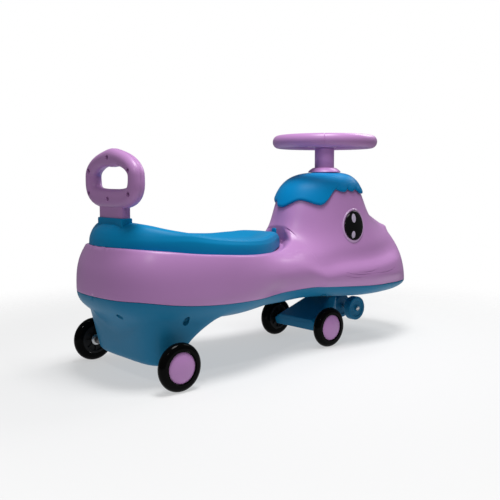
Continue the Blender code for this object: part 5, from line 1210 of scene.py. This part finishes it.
lathe("hand_wheel_cap", outline, 0.0012, STEER, lilac, "steering", "lilac_plastic", "steering_wheel_cap", 96,
      count=5)
bolt = pan_screw("hand_wheel_bolt", 0.0055, 0.0025, 0.0025, 0.016, STEER + [0.0, 0.0, HEAD_LOW], "Z", True)
dress(bolt, "steering", "steel", "steering_wheel_bolt")


# Wheels
# Four alike: a soft black tyre on a ribbed black core, a lilac snap-in hub cap over the axle's push nut.

WHEEL_HALF = 0.0201 / 2.0
TYRE_SEAT = 0.0270
CORE_RADIUS = TYRE_SEAT - GAP
WEB_OUT = -WHEEL_HALF + 0.010
HUB_CAP_RADIUS = 0.0255
HUB_CAP_EDGE, HUB_CAP_RISE = WHEEL_HALF - 0.0030, 0.0051
SHOULDER_DEPTH = 0.0115
SIDEWALL_STEP, SIDEWALL_STEPS = 0.0004, ((0.0300, 0.0306), (0.0345, 0.0351))
tyre_black = moulded_plastic("tyre_black", (0.0015, 0.0015, 0.0015), 0.03, 0.05, drift=0.2, grain=0.05,
                             scuff=0.06)
core_black = moulded_plastic("core_black", (0.008, 0.008, 0.009), 0.35, 0.15)


def tyre_points(side):
    """Tyre section: radius seat + depth * sin(a)^0.62, height half * cos(a), with two shallow steps on the
    sidewall."""
    a = np.radians(np.concatenate([np.linspace(4.0, 60.0, 16), np.linspace(66.0, 114.0, 9),
                                   np.linspace(120.0, 176.0, 16)]))
    radius = TYRE_SEAT + 0.0015 + SHOULDER_DEPTH * np.sin(a) ** 0.62
    height = WHEEL_HALF * np.cos(a)
    radius = np.concatenate([[TYRE_SEAT], radius, [TYRE_SEAT]])
    height = np.concatenate([[WHEEL_HALF * 0.97], height, [-WHEEL_HALF * 0.97]])
    turns = even_turns(240)
    steps = SIDEWALL_STEP * sum(smooth_step(low, high, radius) for low, high in SIDEWALL_STEPS)
    height = height - np.sign(height) * np.minimum(steps, np.abs(height) * 0.2)
    return np.stack([radius * np.cos(turns)[:, None], side * height[None, :] + 0.0 * turns[:, None],
                     radius * np.sin(turns)[:, None]], axis=-1)


def add_wheel(label, axis, outer_y, side, nut_body):
    """One wheel and the push nut that holds it, at an axle point and a distance from the middle plane."""
    place = axis + [0.0, side * (outer_y - WHEEL_HALF), 0.0]
    body_name = f"{label}_wheel"
    grid = tyre_points(side)
    tyre = add_mesh(f"{label}_tyre_ring", grid + place, grid_faces(grid.shape[0], grid.shape[1], True, True),
                    tyre_black, 45.0)
    dress(tyre, body_name, "tyre_black", f"{label}_tyre")
    back, rim_out = -WHEEL_HALF + 0.001, WHEEL_HALF - 0.0025
    outline = [(AXLE_BORE, back), (0.0095, back), (0.0095, back + 0.003), (0.0215, back + 0.003),
               (0.0215, back), (CORE_RADIUS, back), (CORE_RADIUS, rim_out), (HUB_CAP_RADIUS + GAP, rim_out),
               (HUB_CAP_RADIUS + GAP, WEB_OUT), (AXLE_BORE, WEB_OUT)]
    rounded = [(r, side * y) for r, y in fillet(outline, 0.0004, 3)]
    core = add_mesh(f"{label}_core_disc", *turned(rounded, 80, "Y", place), core_black)
    rib = box_points((0.0085, 0.0225), (back + 0.0005, back + 0.004), (-0.0008, 0.0008))
    ribs = []
    for k in range(8):
        c, s = math.cos(k * math.pi / 4.0), math.sin(k * math.pi / 4.0)
        ribs.append(hull(np.stack([rib[:, 0] * c - rib[:, 2] * s, side * rib[:, 1],
                                   rib[:, 0] * s + rib[:, 2] * c], axis=-1) + place))
    combine(core, ribs, "UNION")
    dress(core, body_name, "core_black", f"{label}_core")
    crown = HUB_CAP_EDGE + HUB_CAP_RISE
    dome = [(HUB_CAP_RADIUS * math.cos(a), HUB_CAP_EDGE + HUB_CAP_RISE * math.sin(a) ** 1.5)
            for a in np.radians(np.linspace(0.0, 90.0, 14))[:-1]]
    dome += [(0.0012, crown - 0.0001), (0.0010, crown), (0.0, crown)]
    under = [(0.0, crown - 0.0018), (0.0120, HUB_CAP_EDGE + 0.0018), (0.0205, HUB_CAP_EDGE - 0.0004),
             (HUB_CAP_RADIUS - 0.0018, HUB_CAP_EDGE - 0.0018)]
    low = WEB_OUT + GAP
    skirt = [(HUB_CAP_RADIUS - 0.0018, low), (HUB_CAP_RADIUS, low)]
    lathe(f"{label}_cap_dome", dome + under + skirt, 0.0, place, lilac, body_name, "lilac_plastic",
          f"{label}_hub_cap", 96, "Y", side)
    outline = [(AXLE_BORE, low), (0.0085, low), (0.0085, low + 0.0008), (0.0060, low + 0.0022),
               (AXLE_BORE, low + 0.0016)]
    lathe(f"{label}_nut", outline, 0.0, place, steel, nut_body, "steel", f"{label}_push_nut", 48, "Y", side)


REAR_HALF, FRONT_HALF = 0.2982 / 2.0, 0.1768 / 2.0
for hand, side in (("left", 1), ("right", -1)):
    add_wheel(f"rear_{hand}", AXLE, REAR_HALF, side, "car")
    add_wheel(f"front_{hand}", AXLE_FRONT, FRONT_HALF, side, "steering")


# Axles, spacers and washers
# Two plain steel bars with chamfered ends; flanged tube spacers stand between the pod and the rear wheels,
# thin washers between the truck and the front wheels.

TUBE_RADIUS, FLANGE_THICKNESS = 0.0065, 0.0014


def steel_bar(name, radius, chamfer, axis, body_name, node, segments):
    """A plain bar across the car with chamfered ends, as long as its solid."""
    low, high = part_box(node)
    half = (high[1] - low[1]) / 2.0
    outline = [(0.0, -half), (radius - chamfer, -half), (radius, -half + chamfer), (radius, half - chamfer),
               (radius - chamfer, half), (0.0, half)]
    lathe(name, outline, 0.0, axis, steel, body_name, "steel", node, segments, "Y")


steel_bar("rear_bar", AXLE_RADIUS, 0.0007, AXLE, "car", "rear_axle", 48)
steel_bar("front_bar", AXLE_RADIUS, 0.0007, AXLE_FRONT, "steering", "front_axle", 48)
for label, axis, suffix, flange, body_name in (("rear", AXLE, "spacer", 0.0100, "car"),
                                               ("front", AXLE_FRONT, "washer", TUBE_RADIUS, "steering")):
    for hand in ("left", "right"):
        node = f"{label}_{hand}_{suffix}"
        low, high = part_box(node)
        inner_end, outer_end = (low[1], high[1]) if hand == "left" else (high[1], low[1])
        flange_end = outer_end - math.copysign(min(FLANGE_THICKNESS, high[1] - low[1]), outer_end)
        outline = [(AXLE_BORE, inner_end), (TUBE_RADIUS, inner_end), (TUBE_RADIUS, flange_end),
                   (flange, flange_end), (flange, outer_end), (AXLE_BORE, outer_end)]
        lathe(f"{node}_ring", outline, 0.0002, axis, steel, body_name, "steel", node, 48, "Y")


# Anti-tip rollers
# Two wide rollers in the truck's blue with its painted shade, on one steel pin across the truck's arm, with
# a domed push nut at each end.

ROLLER_LOW = ARM_HALF_WIDTH + 0.0005
ROLLER_HIGH = ROLLER_LOW + 0.0170
ROLLER_DISH = 0.0015
for hand, side in (("left", 1), ("right", -1)):
    low_dish, high_dish = ROLLER_LOW + ROLLER_DISH, ROLLER_HIGH - ROLLER_DISH
    outline = [(PIN_BORE, ROLLER_LOW), (0.0070, ROLLER_LOW), (0.0070, low_dish), (0.0185, low_dish),
               (0.0185, ROLLER_LOW), (ROLLER_RADIUS, ROLLER_LOW), (ROLLER_RADIUS, ROLLER_HIGH),
               (0.0185, ROLLER_HIGH), (0.0175, high_dish), (0.0080, high_dish), (0.0070, ROLLER_HIGH),
               (PIN_BORE, ROLLER_HIGH)]
    radii = [0.0002, *4 * [0.0005], 0.0025, 0.0025, *3 * [0.0008], 0.0005, 0.0002]
    # Painted shade: the rollers take the truck's darkened blue.
    lathe(f"{hand}_roller_drum", outline, radii, ROLLER_PIN, truck_blue_painted_shade, f"{hand}_roller",
          "truck_blue_plastic", f"roller_{hand}", 96, "Y", side, 6)
    low = ROLLER_HIGH + 0.0005
    outline = [(PIN_BORE, low), (0.0050, low), (0.0050, low + 0.0012), (0.0042, low + 0.0030),
               (PIN_BORE, low + 0.0030)]
    lathe(f"{hand}_roller_cap_nut", outline, 0.0005, ROLLER_PIN, steel, "steering", "steel",
          f"roller_nut_{hand}", 48, "Y", side, 4)
steel_bar("roller_bar", PIN_RADIUS, 0.0005, ROLLER_PIN, "steering", "roller_pin", 40)


# Floor, light and camera
# A pale floor that fades out, a soft key light above, a weaker one ahead of the brow, a small sharp one for
# glints and a pale world.

scene = bpy.context.scene
floor_material = bpy.data.materials.new("floor")
floor_material.use_nodes = True
tree = floor_material.node_tree
floor_shader = tree.nodes["Principled BSDF"]
floor_shader.inputs["Base Color"].default_value = (0.34, 0.34, 0.34, 1.0)
floor_shader.inputs["Emission Color"].default_value = (1.0, 1.0, 1.0, 1.0)
floor_shader.inputs["Emission Strength"].default_value = 0.48
floor_shader.inputs["Roughness"].default_value = 0.8
from_middle = tree.nodes.new("ShaderNodeVectorMath")
from_middle.operation = "LENGTH"
tree.links.new(add_node(tree, "TexCoord").outputs["Object"], from_middle.inputs[0])
fade = add_node(tree, "MapRange", Value=from_middle.outputs["Value"], From_Min=0.45, From_Max=1.10)
fade.interpolation_type = "SMOOTHSTEP"


def mix_shaders(tree, share, first, second, sink):
    """Two shaders mixed by a share, into a sink."""
    mix = add_node(tree, "MixShader")
    for socket, source in zip(mix.inputs, (share, first, second)):
        tree.links.new(source, socket)
    tree.links.new(mix.outputs["Shader"], sink.inputs["Surface"])


mix_shaders(tree, fade.outputs["Result"], floor_shader.outputs["BSDF"],
            add_node(tree, "BsdfTransparent").outputs["BSDF"], tree.nodes["Material Output"])
corners = [(-1.5, -1.5, 0.0), (1.5, -1.5, 0.0), (1.5, 1.5, 0.0), (-1.5, 1.5, 0.0)]
floor = add_mesh("floor", corners, [(0, 1, 2, 3)], floor_material)


def area_light(name, place, target, size, power):
    """A square soft light that faces a point."""
    light = bpy.data.lights.new(name, "AREA")
    light.size = size
    light.energy = power
    lamp = bpy.data.objects.new(name, light)
    lamp.location = place
    lamp.rotation_euler = (Vector(target) - Vector(place)).to_track_quat("-Z", "Y").to_euler()
    scene.collection.objects.link(lamp)


area_light("key", (-0.12, -0.30, 1.95), (0.0, 0.0, 0.10), 0.7, 36.0)
area_light("brow_light", (0.95, 0.05, 1.05), (0.17, 0.0, 0.24), 0.5, 5.0)
area_light("spark", (-1.25, -0.95, 1.60), (0.05, 0.0, 0.20), 0.10, 5.0)
world = bpy.data.worlds.new("studio")
world.use_nodes = True
tree = world.node_tree
seen = tree.nodes["Background"]
seen.inputs["Color"].default_value = (1.0, 1.0, 1.0, 1.0)
around = add_node(tree, "Background", Color=(0.94, 0.97, 1.0, 1.0), Strength=0.22)
mix_shaders(tree, add_node(tree, "LightPath").outputs["Is Camera Ray"], around.outputs["Background"],
            seen.outputs["Background"], tree.nodes["World Output"])
scene.world = world

lens = bpy.data.cameras.new("photo_angle")
lens.lens = 51.88
lens.sensor_width = 36.0
lens.clip_start = 0.01
camera = bpy.data.objects.new("photo_angle", lens)
camera.location = (-0.95155, -1.06304, 0.33788)
look = Vector((0.65138589, 0.75247911, -0.09732219))
camera.rotation_euler = look.to_track_quat("-Z", "Y").to_euler()
scene.collection.objects.link(camera)
scene.camera = camera
scene.view_settings.view_transform = "Standard"
